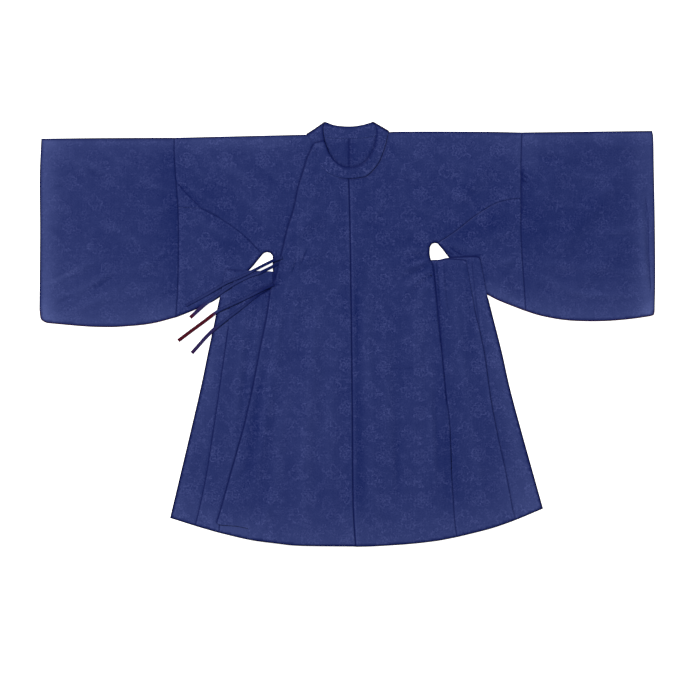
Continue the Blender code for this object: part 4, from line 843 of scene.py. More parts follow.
def shell(name, points, faces, heights, wall, mats, attributes, oriented=False, flat=None):
    """A thin closed wall of cloth round a middle surface, with rounded edges.

    mats is (upper material, lower material). attributes are one value a point each. Faces
    that aren't oriented are turned up. The rim isn't rounded where flat says so.
    """
    middle = to_world(points, np.maximum(heights, wall / 2))
    a, b, c = (middle[faces[:, k]] for k in range(3))
    face_normals = np.cross(b - a, c - a)
    if not oriented:
        down = face_normals[:, 2] < 0
        faces = np.where(down[:, None], faces[:, ::-1], faces)
        face_normals[down] *= -1.0
    normals, out = np.zeros_like(middle), np.zeros_like(middle)
    for k in range(3):
        np.add.at(normals, faces[:, k], face_normals)
    loops, owner = open_edges(faces)
    ways = unit(np.cross(middle[loops[:, 1]] - middle[loops[:, 0]], face_normals[owner]))
    for k in range(2):
        np.add.at(out, loops[:, k], ways)
    border = np.unique(loops)
    out = unit(out[border])
    if flat is not None:
        out[flat[border]] = 0.0
    half = wall / 2 * MM
    thick = unit(normals) * half
    vertices = np.concatenate((middle + thick, middle - thick,
                               middle[border] + out * half * RIM_BULGE))

    count = len(middle)
    turned = {i: 2 * count + k for k, i in enumerate(border)}
    polygons = [tuple(face) for face in faces]
    polygons += [tuple(count + i for i in reversed(face)) for face in faces]
    for i, j in loops:
        polygons.append((j, i, turned[i], turned[j]))
        polygons.append((turned[j], turned[i], count + i, count + j))
    materials = [0] * len(faces) + [1] * len(faces) + [0, 1] * len(loops)
    obj = add_mesh(name, vertices.tolist(), polygons, materials, mats)
    index = np.concatenate((np.arange(count), np.arange(count), border)).astype(int)
    for key, values in attributes.items():
        values = np.asarray(values, float)[index]
        kind, field = (("FLOAT_VECTOR", "vector") if values.ndim == 2 else ("FLOAT", "value"))
        store = obj.data.attributes.new(key, kind, "POINT")
        store.data.foreach_set(field, values.astype(np.float32).ravel())
    obj.data.shade_smooth()
    return obj


def broad_tone(points):
    """Painted light and shade over broad areas, as a share of the cloth's own light."""
    total = np.zeros(len(points))
    for across_0, down_0, across_1, down_1, width, share in TONES:
        away, _ = line_distance(points, [(across_0, down_0), (across_1, down_1)])
        total += share * fade(away, width)
    return total


def area_of(polygon):
    """Area of a closed outline, in square metres."""
    a = np.asarray(polygon, float)
    b = np.roll(a, -1, axis=0)
    return abs((a[:, 0] * b[:, 1] - a[:, 1] * b[:, 0]).sum()) / 2 * CM * CM


def cut_size(polygon):
    """Width and length of the cut's box, in metres."""
    size = np.ptp(np.asarray(polygon, float), axis=0) * CM
    return float(size[0]), float(size[1])


def panel_lift(points):
    """How far, in layers, a side panel is lifted by the sleeve that it lies on."""
    left = points[:, 0].mean() < 0
    line = smooth_edge(UNDERARM_BOTTOM_LEFT if left else UNDERARM_BOTTOM_RIGHT)
    seam = smooth_edge(CURVED_SEAM_LEFT if left else CURVED_SEAM_RIGHT)
    away, _ = line_distance(points, line)
    lift = 2.0 * (1.0 - smoothstep((away - LIFT_FULL) / (LIFT_END - LIFT_FULL)))
    return np.where(inside(points, line + seam[-2::-1]), 2.0, lift)


def unevenness(points, seed):
    """Slight waves of two sizes, in mm."""
    return sum(height * ripple(points, size, seed + more) for height, size, more in UNEVEN)


def creased(points, number, seed, fold_share=1.0):
    """Height of a creased layer of cloth on the number of layers below it."""
    return (layer(number) + fold_share * fold_relief(points) + crease_relief(points)
            + unevenness(points, seed))


def front_height(points):
    start, width = FRONT_FALL
    return creased(points, 2.0 - smoothstep((points[:, 0] - start) / width), 1.0)


def overlap_height(points):
    start, width = OVERLAP_CLIMB
    return creased(points, 2.0 + smoothstep((-points[:, 0] - start) / width), 2.0)


def inner_height(points):
    return creased(points, 1.0, 3.0, INNER_FOLD_SHARE)


def upper_height(points):
    return creased(points, 1.0, 4.0)


def floor_height(points):
    height, size, seed = UNDERSIDE_UNEVEN
    return layer(0.0) + height * np.abs(ripple(points, size, seed)) ** 2


def lower_panel_height(points):
    return layer(panel_lift(points)) + 0.5 * unevenness(points, 6.0)


def upper_panel_height(points):
    """As the solids' side panels, without the largest folds."""
    return creased(points, 1.0 + panel_lift(points), 8.0, 0.0)


def cloth_attributes(points, dark, glow, plain=0.0, red=0.0, shift=(0.0, 0.0)):
    """What the materials read at each point: the pattern's place and shares of painted shade,
    painted light, plainness and dark red.
    """
    none = np.zeros(len(points))
    # Painted light and shade over broad areas and along the creases' ridges and troughs
    glow = glow + broad_tone(points) + CREASE_LIGHT * crease_relief(points)
    return {"cloth": np.column_stack((points + np.array(shift), none)), "dark": dark,
            "glow": glow, "plain": none + plain, "red": none + red}


def edge_red(points, edges):
    """How much of the dark red lining shows at the very edge."""
    red = np.zeros(len(points))
    for edge_points, finish in edges:
        if finish.startswith("lined"):
            away, _ = line_distance(points, smooth_edge(edge_points))
            red = np.maximum(red, LINING_SHOWS * fade(away * 10, LINING_WIDTH))
    return red


def claim(obj, node):
    """Hides the solid that a piece stands for and attaches the piece to the root."""
    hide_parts(node)
    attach(obj, "root")


def declare(obj, node, polygon, sides=1):
    """Stands a piece of cloth in for its solid, as claim does; the size that it was cut to is
    worked out and not kept.
    """
    claim(obj, node)
    width, length = cut_size(polygon)
    length *= sides
    min(area_of(polygon) * sides, width * length)


def lay_out(edges, height, spacing, middle, above=(), tone=0.0, plain=0.0, shift=(0.0, 0.0)):
    """One layer of cloth: its outline filled, creased, and finished along its edges.

    middle is the height at which its folded edges turn over. above has the edges of the pieces
    that lie on it, and their shade. shift moves the woven pattern. The result is its points,
    triangles, outline, heights and attributes.
    """
    marks = [] if height is floor_height else marks_on(edges)
    marks += [(smooth_edge(line), *shade) for line, shade in above]
    points, faces, border = fill(edges, spacing, mark_rows(marks))
    heights, dark, glow = finish_edges(points, edges, height(points), middle)
    values = cloth_attributes(points, add_marks(points, dark, marks), glow + tone, plain=plain,
                              red=edge_red(points, edges), shift=shift)
    return points, faces, border, heights, values


def panel(node, edges, height, spacing, mats, rests_on, middle=None, extra=None, **more):
    """One flat-cut panel. extra changes its attributes."""
    points, faces, border, heights, values = lay_out(edges, height, spacing, middle, **more)
    if extra:
        extra(points, values)
    flat = np.zeros(len(points), bool)
    if middle is not None:
        flat = np.abs(heights - middle) < ON_RIM
    obj = shell(node + "_cloth", points, faces, heights, WALL, mats, values, flat=flat)
    declare(obj, node, border)


def body_edges(side, neck_curve, centre_curve, centre, neck="neck_seam"):
    """Edges of one half of the body with its share of the upper sleeve."""
    if side == "left":
        return [
            (SHOULDER_LEFT, "fold"), (neck_curve, neck), (centre_curve, centre),
            (reverse(hem_between(SIDE_SEAM_LEFT, centre_curve)), "hem"),
            (reverse(SIDE_SEAM_LEFT), "seam"), (reverse(BODY_EDGE_LEFT), "open"),
            (reverse(ARMPIT_LEFT), "open"), (reverse(CURVED_SEAM_LEFT[1:]), "curved_seam"),
            (reverse(CURVED_SEAM_LEFT[:2]), "curved_faint"),
            (reverse(SLEEVE_SEAM_LEFT), "seam")]
    return [
        (SHOULDER_RIGHT, "fold"), (SLEEVE_SEAM_RIGHT, "seam"),
        (CURVED_SEAM_RIGHT, "curved_seam"), (ARMPIT_RIGHT, "open"), (BODY_EDGE_RIGHT, "open"),
        (SIDE_SEAM_RIGHT, "side_seam"),
        (reverse(hem_between(centre_curve, SIDE_SEAM_RIGHT)), "hem"),
        (reverse(centre_curve), centre), (neck_curve, neck)]


def hem_facing(points, values):
    """The plain facing on the inner front's hem, below the step of the overlapping front."""
    away, _ = line_distance(points, smooth_edge(HEM))
    strip = (points[:, 0] < FACING_END) & (away < FACING_WIDTH)
    values["plain"][strip] = 1.0
    values["glow"][strip] += FACING_LIGHT





def make_body(mats):
    """Back halves, inner front, outer front and its extension."""
    front_rim, back_rim = FOLD_MIDDLE + FOLD_GAP, FOLD_MIDDLE - FOLD_GAP
    neck = [([row[3:5] for row in COLLAR[:BAND_FRONT]], NECK_SHADE)]
    for side, curve, shift in (("left", NECK_BACK_LEFT, (3.0, 5.0)),
                               ("right", NECK_BACK_RIGHT, (-2.0, 9.0))):
        panel(f"back_{side}", body_edges(side, curve, CENTRE_BACK, "back_seam", "neck_back"),
              floor_height, UNDER_LATTICE, (mats[0], mats[0]), [], above=neck, middle=back_rim,
              shift=shift)
    panel("front_inner", body_edges("left", NECK_INNER, INNER_EDGE, "hidden", "hidden_neck"),
          inner_height, FRONT_LATTICE, mats, ["back_left"], middle=front_rim,
          above=[(CLOSING_EDGE, EDGE_ABOVE), (OVERLAP_SIDE, EDGE_ABOVE),
                 (OVERLAP_STEP, STEP_ABOVE), (OVERLAP_STEP_END, STEP_ABOVE)],
          extra=hem_facing, shift=(2.0, -3.0))
    panel("front_outer", body_edges("right", NECK_FRONT_RIGHT, CENTRE_FRONT, "centre_seam"),
          front_height, FRONT_LATTICE, mats, ["back_right", "front_inner"], middle=front_rim)
    overlap = [
        (NECK_OVERLAP[:-1], "neck_faint"), (NECK_OVERLAP[-2:], "neck_seam"),
        (CENTRE_FRONT, "centre_seam"),
        (reverse(hem_between(OVERLAP_STEP_END, CENTRE_FRONT)), "hem"),
        (reverse(OVERLAP_STEP_END), "step"), (reverse(OVERLAP_STEP), "step"),
        (reverse(OVERLAP_SIDE), "closing"), (reverse(CLOSING_EDGE), "closing")]
    panel("front_overlap", overlap, overlap_height, FRONT_LATTICE, mats, ["front_inner"],
          shift=(-0.5, 1.5))


def make_underarms(mats):
    """The pieces below the curved seams, front and back on each side."""
    left = [(CURVED_SEAM_LEFT[:2], "curved_faint"), (CURVED_SEAM_LEFT[1:], "curved_seam"),
            (reverse(UNDERARM_BOTTOM_LEFT), "open"), (reverse(SLEEVE_SEAM_LEFT_LOW), "seam")]
    right = [(SLEEVE_SEAM_RIGHT_LOW, "seam"), (UNDERARM_BOTTOM_RIGHT[:3], "lined_hem"),
             (UNDERARM_BOTTOM_RIGHT[2:], "open"), (reverse(CURVED_SEAM_RIGHT), "curved_seam")]
    for side, edges in (("left", left), ("right", right)):
        panel(f"underarm_{side}_back", edges, floor_height, UNDER_LATTICE,
              (mats[0], mats[0]), [], shift=(5.0, 2.0))
        panel(f"underarm_{side}_front", edges, upper_height, FRONT_LATTICE, mats,
              [f"underarm_{side}_back"], above=PANEL_LINES[side], shift=(4.0, 6.0))


def make_side_panels(mats):
    """Two layers on each side, the back one on the surface and on the sleeve's lower edge."""
    left_back = [
        (PANEL_TOP_LEFT, "panel_faint"), (SIDE_SEAM_LEFT, "seam"),
        (reverse(hem_between(PANEL_OUTER_LEFT, SIDE_SEAM_LEFT)), "hem"),
        (reverse(PANEL_OUTER_LEFT[1:]), "panel_edge"),
        (reverse(PANEL_OUTER_LEFT[:2]), "panel_faint")]
    left_front = [
        (PANEL_TOP_LEFT_FRONT, "panel_faint"), (SIDE_SEAM_LEFT, "seam"),
        (reverse(hem_between(PANEL_FOLD_LEFT, SIDE_SEAM_LEFT)), "hem"),
        (reverse(PANEL_FOLD_LEFT[1:]), "panel_fold"),
        (reverse(PANEL_FOLD_LEFT[:2]), "panel_faint")]
    right_back = [
        (PANEL_TOP_RIGHT, "free"), (PANEL_OUTER_RIGHT[:2], "panel_faint"),
        (PANEL_OUTER_RIGHT[1:], "panel_edge"),
        (reverse(hem_between(SIDE_SEAM_RIGHT, PANEL_OUTER_RIGHT)), "hem"),
        (reverse(SIDE_SEAM_RIGHT), "seam")]
    right_front = [
        (PANEL_TOP_RIGHT_FRONT, "free"), (PANEL_FOLD_RIGHT[:2], "panel_faint"),
        (PANEL_FOLD_RIGHT[1:-1], "panel_soft"), (PANEL_FOLD_RIGHT[-2:], "panel_faint"),
        (reverse(hem_between(SIDE_SEAM_RIGHT, PANEL_FOLD_RIGHT)), "hem"),
        (reverse(SIDE_SEAM_RIGHT), "seam")]
    for side, back, front, fold, over in (
            ("left", left_back, left_front, PANEL_FOLD_LEFT, [(OVERLAP_SIDE, EDGE_ABOVE)]),
            ("right", right_back, right_front, PANEL_FOLD_RIGHT, [])):
        panel(f"side_panel_{side}_back", back, lower_panel_height, FRONT_LATTICE,
              (mats[0], mats[0]), [f"underarm_{side}_front"], above=[(fold[1:], PANEL_ABOVE)],
              shift=(1.0, 3.0))
        panel(f"side_panel_{side}_front", front, upper_panel_height, FRONT_LATTICE, mats,
              [f"side_panel_{side}_back"], above=over, shift=(6.0, 1.0))


def turned_up(points, faces):
    """Triangles with their corners in the order that makes them face up, as down is -Y."""
    first, second = (points[faces[:, k]] - points[faces[:, 0]] for k in (1, 2))
    ways = first[:, 0] * second[:, 1] - first[:, 1] * second[:, 0]
    return np.where((ways > 0)[:, None], faces[:, ::-1], faces)


def make_sleeve(node, edges, mats):
    """One sleeve end: a flattened tube, folded along its top and closed along its bottom."""
    layers = []
    for height, spacing in ((upper_height, FRONT_LATTICE), (floor_height, UNDER_LATTICE)):
        points, faces, border, heights, values = lay_out(
            edges, height, spacing, FOLD_MIDDLE, tone=SLEEVE_TONE, plain=SLEEVE_PLAIN,
            shift=(3.0, 4.0))
        layers.append((points, turned_up(points, faces), heights, values))
    (points_1, faces_1, heights_1, values_1), (points_2, faces_2, heights_2, values_2) = layers

    # The two layers share the points of their rims
    rims = [np.abs(heights - FOLD_MIDDLE) < 1e-3 for heights in (heights_1, heights_2)]
    shared = {tuple(np.round(points_1[i], 6)): i for i in np.flatnonzero(rims[0])}
    place, kept = np.empty(len(points_2), int), []
    for i, point in enumerate(points_2):
        twin = shared.get(tuple(np.round(point, 6))) if rims[1][i] else None
        if twin is None:
            place[i] = len(points_1) + len(kept)
            kept.append(i)
        else:
            place[i] = twin
    values = {key: np.concatenate((values_1[key], values_2[key][kept])) for key in values_1}
    obj = shell(node + "_cloth", np.concatenate((points_1, points_2[kept])),
                np.concatenate((faces_1, place[faces_2][:, ::-1])),
                np.concatenate((heights_1, heights_2[kept])), WALL, mats, values,
                oriented=True)
    declare(obj, node, border, sides=2)


def make_sleeves(mats):
    """The two sleeve ends, each with its edges in order."""
    for side, top, cuff, corner, bottom, low, high in (
            ("left", SLEEVE_TOP_LEFT, CUFF_LEFT, CUFF_CORNER_LEFT, SLEEVE_BOTTOM_LEFT,
             SLEEVE_SEAM_LEFT_LOW, SLEEVE_SEAM_LEFT),
            ("right", SLEEVE_TOP_RIGHT, CUFF_RIGHT, CUFF_CORNER_RIGHT, SLEEVE_BOTTOM_RIGHT,
             SLEEVE_SEAM_RIGHT_LOW, SLEEVE_SEAM_RIGHT)):
        make_sleeve(f"sleeve_{side}", [
            (top, "sleeve_fold"), (cuff, f"cuff_{side}"), (corner, "lined_hem"),
            (bottom, "lined_fold"), (reverse(low), "sleeve_seam"),
            (reverse(high), "sleeve_seam")], mats)


def band_faces(rows, width):
    """Triangles of a band of rows of points, each row across it."""
    faces = []
    for r in range(rows - 1):
        for k in range(width - 1):
            a = r * width + k
            faces += [(a, a + 1, a + width + 1), (a, a + width + 1, a + width)]
    return np.array(faces)


def make_collar(mats):
    """One stiffened band round the neck, whose end laps over at the wearer's right shoulder."""
    count = np.arange(BAND_ROWS + 1)[:, None]
    share, t = count / BAND_ROWS, np.array(BAND_PLACES)
    rows = np.array([catmull_rom(COLLAR, s) for s in share[:, 0]])
    across, down, height = ((rows[:, k:k + 1] * (1 - t) + rows[:, k + 3:k + 4] * t)
                            for k in range(3))
    (seam_roll, seam_width), (top_roll, top_width) = BAND_ROLLS
    start, reach = BAND_ON_TOP
    height = np.maximum(height, COLLAR_WALL / 2)
    height += smoothstep((rows[:, 2:3] - start) / reach) * (
        BAND_CROWN * np.sin(np.pi * t) - seam_roll * np.exp(-t / seam_width)
        - top_roll * np.exp(-(1 - t) / top_width))
    height = np.maximum(height, COLLAR_WALL / 2)

    section = share * (len(COLLAR) - 1)
    behind = (section > BAND_BEHIND[0]) & (section < BAND_BEHIND[1])
    # Painted shade along the seam, the top edge and the free end, and painted light beside them
    seam_dark = np.interp(share, *zip(*BAND_SEAM_DARK))
    dark = np.maximum(seam_dark * fade(t, BAND_SEAM_LINE),
                      np.where(behind, *BAND_TOP_DARK[::-1]) * fade(1 - t, BAND_TOP_LINE))
    dark[:BAND_END_ROWS] = BAND_END_DARK
    light, row, row_reach, place, place_reach = BAND_END_LIGHT
    glow = BAND_TONE + light * fade(count - row, row_reach) * fade(t - place, place_reach)
    light, place, place_reach = BAND_SEAM_LIGHT
    glow = glow + light * seam_dark * fade(t - place, place_reach)

    points = np.column_stack((across.ravel(), down.ravel()))
    dark = dark.ravel()
    # Painted shade along the slopes up to the peaks
    for slope in BAND_SLOPES:
        dark = np.maximum(dark, fade(line_distance(points, slope)[0], BAND_SLOPE_WIDTH, 4))
    values = cloth_attributes(points, dark, glow.ravel(), shift=(1.0, 2.0))
    obj = shell("collar_cloth", points, band_faces(BAND_ROWS + 1, len(t)), height.ravel(),
                COLLAR_WALL, mats, values, oriented=True)
    claim(obj, "collar")
    rows = [catmull_rom(COLLAR, i / BAND_SECTIONS) for i in range(BAND_SECTIONS + 1)]
    length = length_of([((row[0] + row[3]) / 2, (row[1] + row[4]) / 2) for row in rows]) * CM


def make_ties(mats):
    """Four flat ribbons of the robe's cloth; their dark red back shows beyond the sleeve."""
    for name, table in TIES.items():
        middle = [Vector(catmull_rom(table, i / TIE_ROWS)) for i in range(TIE_ROWS + 1)]
        middle[-1] += (middle[-1] - middle[-2]).normalized() * TIE_END
        shares, *columns = zip(*TIE_LOOKS[name])
        points, heights, dark, glow, reds = [], [], [], [], []
        for i, here in enumerate(middle):
            run = middle[min(i + 1, TIE_ROWS)] - middle[max(i - 1, 0)]
            side = Vector((-run.y, run.x)).normalized()
            share = i / TIE_ROWS
            navy, red, width = (np.interp(share, shares, column) for column in columns)
            for k in TIE_PLACES:
                points.append(tuple(here.xy + side * k * width / 2 * MM / CM))
                heights.append(here.z - TIE_ROLL * abs(k) ** 4)
                # Painted shade on the edges and along the ribbon, painted light on its middle
                edge = TIE_EDGE_DARK * smoothstep((abs(k) - TIE_EDGE_FROM) / (1 - TIE_EDGE_FROM))
                dark.append(max(edge * smoothstep(share / TIE_ROOT), navy))
                glow.append(TIE_LIGHT * (1 - abs(k)))
                reds.append(red * (1 - TIE_RED_LOSS * abs(k) ** 3))
        values = cloth_attributes(np.array(points), np.array(dark), np.array(glow), plain=1.0,
                                  red=np.array(reds))
        obj = shell(name + "_ribbon", np.array(points),
                    band_faces(TIE_ROWS + 1, len(TIE_PLACES)), np.array(heights), TIE_WALL,
                    mats, values, oriented=True)
        claim(obj, name)
        path = to_world([here.xy for here in middle], [here.z for here in middle]).tolist()


class Value:
    """A node's output. Its sums, differences and products are nodes as well."""

    def __init__(self, looks, socket):
        self.looks = looks
        self.socket = socket

    def __add__(self, other):
        return self.looks.math("ADD", self, other)

    def __radd__(self, other):
        return self.looks.math("ADD", other, self)

    def __sub__(self, other):
        return self.looks.math("SUBTRACT", self, other)

    def __rsub__(self, other):
        return self.looks.math("SUBTRACT", other, self)

    def __mul__(self, other):
        return self.looks.math("MULTIPLY", self, other)

    def __abs__(self):
        return self.looks.math("ABSOLUTE", self)


class Looks:
    """A material under construction, with short calls that add nodes."""

    def __init__(self, name):
        self.mat = bpy.data.materials.new(name)
        self.mat.use_nodes = True
        self.tree = self.mat.node_tree

    def feed(self, node, inputs):
        """Links or sets a node's inputs, each by its name or number."""
        for key, value in dict(inputs).items():
            if isinstance(value, Value):
                self.tree.links.new(value.socket, node.inputs[key])
            else:
                node.inputs[key].default_value = value

    def shade(self, inputs):
        """Links or sets inputs of the surface's own shader."""
        self.feed(self.tree.nodes["Principled BSDF"], inputs)

    def add(self, kind, output, inputs, **settings):
        """Adds a node, feeds it and returns one of its outputs."""
        node = self.tree.nodes.new(kind)
        for key, value in settings.items():
            setattr(node, key, value)
        self.feed(node, inputs)
        return Value(self, node.outputs[output])

    def math(self, operation, *values):
        """Arithmetic on numbers, or on vectors where one of the values is a vector."""
        wide = any(isinstance(value, tuple) or isinstance(value, Value)
                   and value.socket.type in ("VECTOR", "RGBA") for value in values)
        kind = "ShaderNodeVectorMath" if wide else "ShaderNodeMath"
        output = "Value" if operation in ("LENGTH", "DOT_PRODUCT") else 0
        return self.add(kind, output, enumerate(values), operation=operation)

    def axes(self, point):
        """A point's across and down."""
        across = self.add("ShaderNodeSeparateXYZ", 0, {0: point})
        return across, Value(self, across.socket.node.outputs[1])

    def attribute(self, name, output="Fac"):
        return self.add("ShaderNodeAttribute", output, {}, attribute_name=name)

    def mix(self, share, a, b):
        return self.add("ShaderNodeMix", 2, {0: share, 6: a, 7: b}, data_type="RGBA")

    def noise(self, vector, scale, detail=2.0, roughness=0.5, output="Fac"):
        return self.add("ShaderNodeTexNoise", output, {
            "Vector": vector, "Scale": scale, "Detail": detail, "Roughness": roughness})

    def ramp(self, *limits):
        """A value's soft rise from one limit to another, to 0 to 1 or to two more limits."""
        return self.add("ShaderNodeMapRange", 0, enumerate(limits),
                        interpolation_type="SMOOTHSTEP")


def arc(looks, point, across, down, radius, cut=None):
    """Distance from a point to a circle, or to the part of it on the far side of a cut.

    cut is (across, down, offset): the way from the centre that is left out, and how far off
    the centre it starts.
    """
    away = point - (across, down, 0.0)
    line = abs(looks.math("LENGTH", away) - radius)
    if cut:
        side = looks.math("DOT_PRODUCT", away, (*cut[:2], 0.0))
        line = looks.math("MAXIMUM", line, side - cut[2])
    return line


def nearest(looks, lines):
    """The smallest of some distances."""
    result = lines[0]
    for line in lines[1:]:
        result = looks.math("MINIMUM", result, line)
    return result


def cell(looks, place, offset):
    """The place within one repeat of the pattern, in cm from its middle."""
    share = looks.math("DIVIDE", place + (*offset, 0.0), (*REPEAT, 1.0))
    return (looks.math("FRACTION", share) - (0.5, 0.5, 0.0)) * (*REPEAT, 0.0)


def stroke(looks, point, first, last):
    """Distance from a point to a short line along the first axis."""
    across, down = looks.axes(point)
    past = looks.math("MAXIMUM", across - last, first - across)
    return looks.math("MAXIMUM", abs(down), past)


def blossom(looks, point):
    """Open petals round short strokes, and a curled leaf."""
    across, down = looks.axes(point)
    turn = 2 * math.pi / PETALS
    angle = looks.math("ARCTAN2", down, across) + 2 * PETALS * turn
    angle = looks.math("MODULO", angle, turn) - turn / 2
    reach = looks.math("LENGTH", point)
    petal = looks.add("ShaderNodeCombineXYZ", 0, {0: reach * looks.math("COSINE", angle),
                                                  1: reach * looks.math("SINE", angle)})
    return nearest(looks, [
        arc(looks, petal, 1.66, 0.0, 0.70, (-1.0, 0.0, 0.10)),
        stroke(looks, petal, 0.35, 1.15),
        arc(looks, point, 2.9, 1.6, 0.62, (-0.8, 0.6, 0.1)),
    ])


def cloud(looks, point):
    """A cloud of curls round an open middle, with a tail that trails down to the right."""
    return nearest(looks, [
        arc(looks, point, -1.4, 0.3, 0.95, (0.8, 0.6, 0.25)),
        arc(looks, point, 1.3, 0.4, 0.90, (-0.8, 0.6, 0.25)),
        arc(looks, point, -0.2, -1.4, 0.95, (0.1, 1.0, 0.20)),
        arc(looks, point, -0.1, 1.7, 0.75, (0.0, -1.0, 0.15)),
        arc(looks, point, 3.0, 2.6, 1.40, (0.5, 0.87, -0.5)),
        arc(looks, point, 3.3, 1.3, 0.55, (-0.6, -0.8, 0.1)),
        arc(looks, point, 4.1, 3.1, 0.48, (0.2, -1.0, 0.1)),
    ])


def sprig(looks, point):
    """A few small curls between the two larger motifs."""
    return nearest(looks, [
        arc(looks, point, 0.0, 0.0, 0.62, (0.7, 0.7, 0.1)),
        arc(looks, point, -1.1, 0.9, 0.50, (0.7, -0.7, 0.1)),
        arc(looks, point, 1.0, -0.9, 0.48, (-0.7, 0.7, 0.1)),
        arc(looks, point, 0.5, 1.3, 0.36),
    ])


def bend(looks, place):
    """The place in the chart, moved a little so that its repeats aren't all alike."""
    bent = place
    for size, amount in BENDS:
        way = looks.noise(place, size, output="Color") - (0.5, 0.5, 0.5)
        bent = bent + way * (amount, amount, 0.0)
    return bent


def squiggles(looks, place, scale, detail, thin, wide, strength):
    """Loose lines along the middle values of a noise, between two widths."""
    return looks.ramp(abs(looks.noise(place, scale, detail) - 0.5), thin, wide, strength, 0.0)


def weave(looks, place, plain):
    """The woven pattern: how much is drawn, the ground round its motifs, and the area near."""
    bent = bend(looks, place)
    line = nearest(looks, [blossom(looks, cell(looks, bent, BLOSSOM_PLACE)),
                           cloud(looks, cell(looks, bent, CLOUD_PLACE)),
                           sprig(looks, cell(looks, bent, SPRIG_PLACE)) + SPRIG_FAINT])
    near = looks.ramp(line, 0.30, 0.75, 1.0, 0.0)
    broken = looks.ramp(looks.noise(place, 2.0), 0.42, 0.58)
    broken *= looks.ramp(looks.noise(place, 0.28, 1.0), 0.32, 0.60, 0.35, 1.0)
    drawn = looks.ramp(line, 0.05, 0.34, 1.0, 0.0) * broken
    loops = squiggles(looks, place, 1.25, 0.5, 0.015, 0.070, LOOPS) * near
    curls = squiggles(looks, place, 0.95, 1.0, 0.012, 0.050, CURLS)
    curls *= looks.ramp(looks.noise(place, 0.33), 0.42, 0.56)
    drawn = looks.math("MAXIMUM", drawn, looks.math("MAXIMUM", loops, curls))
    around = looks.ramp(line, 0.18, 0.34) * looks.ramp(line, 0.45, 0.80, 1.0, 0.0)
    figured = 1.0 - plain
    return drawn * figured, around * figured, near


def jacquard(name, ground, motif, strength, lift=1.0):
    """Silk with a woven pattern in soft satin, the grain of its threads and fine unevenness, with
    the painted light and shade that its points carry.
    """
    looks = Looks(name)
    place = looks.attribute("cloth", "Vector")
    dark, glow, plain, red = (looks.attribute(key) for key in ("dark", "glow", "plain", "red"))
    drawn, around, near = weave(looks, place, plain)
    slubs = looks.noise(place * (1.0, 0.12, 1.0), 9.0, 3.0, 0.6)
    streaks = looks.noise(place * (1.0, 0.07, 1.0), 1.5)
    # Painted light and shade from glow, with the cloth's random unevenness
    light = glow + (looks.noise(place, 2.1, 1.5) - 0.5) * (near * 0.5 + 0.5)
    for value, share in ((slubs, 0.22), (looks.noise(place, 0.10), 0.20), (streaks, 0.16)):
        light += (value - 0.5) * share
    light -= around * (AROUND * strength)
    colour = looks.mix(drawn * strength, (*ground, 1.0), (*motif, 1.0)) + light * SHEEN_AND_UNEVENNESS_TINT
    colour = looks.math("MAXIMUM", colour, DARKEST)
    # Painted shade, first deep navy and then the very edge's darker shade, then the real dark red
    # lining
    for share, tone in ((dark, PAINTED_SHADE_NAVY), (looks.ramp(dark, *EDGE_SHOWS), PAINTED_EDGE_SHADE),
                        (red, LINING_RED)):
        colour = looks.mix(share, colour, (*tone, 1.0))

    # Threads and pattern, and on top of them the cloth's soft unevenness
    warp = looks.add("ShaderNodeTexWave", "Fac", {"Vector": place, "Scale": 7.0,
                                                  "Distortion": 0.6},
                     wave_type="BANDS", bands_direction="DIAGONAL")
    fine = looks.add("ShaderNodeBump", 0, {"Strength": 0.35, "Distance": 0.00012,
                                           "Height": warp * 0.3 + slubs * 0.7 + drawn * 0.8})
    soft = looks.add("ShaderNodeBump", 0, {"Strength": 0.5, "Distance": 0.0011 * lift,
                                           "Height": looks.noise(place, 0.45, 3.0, 0.55),
                                           "Normal": fine})
    looks.shade({"Base Color": colour, "Roughness": ROUGHNESS - drawn * 0.08, "Normal": soft,
                 "Specular IOR Level": 0.06, "Sheen Weight": 0.02, "Sheen Roughness": 0.4,
                 "Sheen Tint": (0.45, 0.55, 1.0, 1.0)})
    return looks.mat


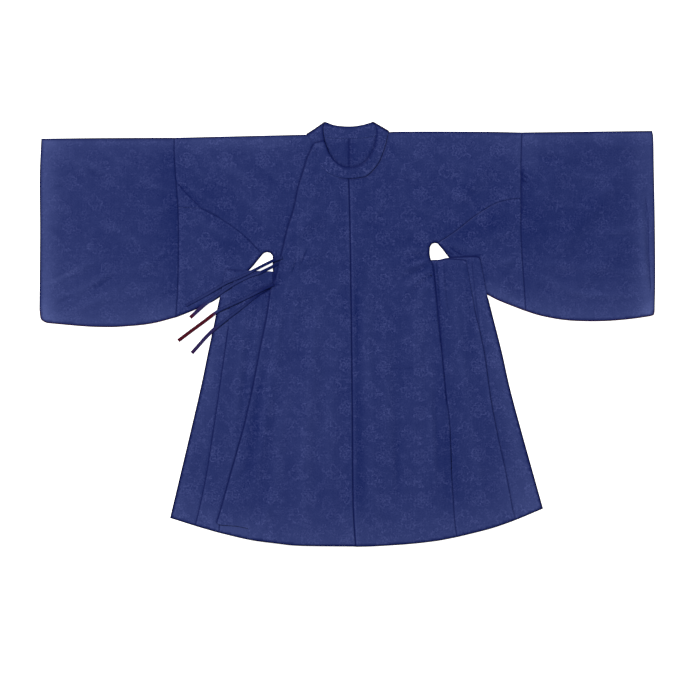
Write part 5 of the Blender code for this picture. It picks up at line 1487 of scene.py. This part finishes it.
def make_stage():
    """A plain pale surface and soft, mostly overhead light."""
    half = FLOOR_SIDE / 2
    looks = Looks("pale_surface")
    looks.shade({"Base Color": (0.93, 0.93, 0.935, 1.0), "Roughness": 0.95,
                 "Specular IOR Level": 0.0, "Emission Color": (1.0, 1.0, 1.0, 1.0),
                 "Emission Strength": FLOOR_GLOW})
    corners = [(-half, -half), (half, -half), (half, half), (-half, half)]
    add_mesh("surface", [(*corner, FLOOR_HEIGHT) for corner in corners],
                      [(0, 1, 2, 3)], [0], [looks.mat])

    world = bpy.data.worlds.new("studio")
    bpy.context.scene.world = world
    world.use_nodes = True
    background = world.node_tree.nodes["Background"]
    background.inputs["Color"].default_value = (1.0, 1.0, 1.0, 1.0)
    background.inputs["Strength"].default_value = WORLD_LIGHT
    lamp = bpy.data.lights.new("key", "AREA")
    lamp.shape = "DISK"
    lamp.size = LAMP_SIZE
    lamp.energy = LAMP_POWER
    obj = bpy.data.objects.new("key", lamp)
    obj.location = LAMP_PLACE
    obj.rotation_euler = (-Vector(LAMP_PLACE)).to_track_quat("-Z", "Y").to_euler()
    bpy.context.scene.collection.objects.link(obj)


def make_camera():
    """A long lens straight above, so the picture has next to no perspective."""
    camera = bpy.data.cameras.new("camera")
    camera.sensor_width = SENSOR
    camera.lens = SENSOR * CAMERA_HEIGHT / FRAME_WIDTH
    camera.clip_end = 100.0
    obj = bpy.data.objects.new("camera", camera)
    obj.location = (*CAMERA_PLACE, CAMERA_HEIGHT)
    bpy.context.scene.collection.objects.link(obj)
    bpy.context.scene.camera = obj
    bpy.context.scene.view_settings.view_transform = "Standard"


def main():
    make_camera()
    cloth = jacquard("robe_silk", NAVY, MOTIF, 0.69)
    inside_cloth = jacquard("robe_silk_inside", INSIDE, INSIDE, 0.0)
    band = jacquard("collar_silk", NAVY, MOTIF, 1.0, lift=0.8)
    ribbon = jacquard("ribbon_silk", RIBBON, RIBBON, 0.0, lift=0.2)
    mats = (cloth, inside_cloth)
    make_body(mats)
    make_underarms(mats)
    make_side_panels(mats)
    make_sleeves(mats)
    make_collar((band, band))
    make_ties((ribbon, ribbon))
    make_stage()


main()
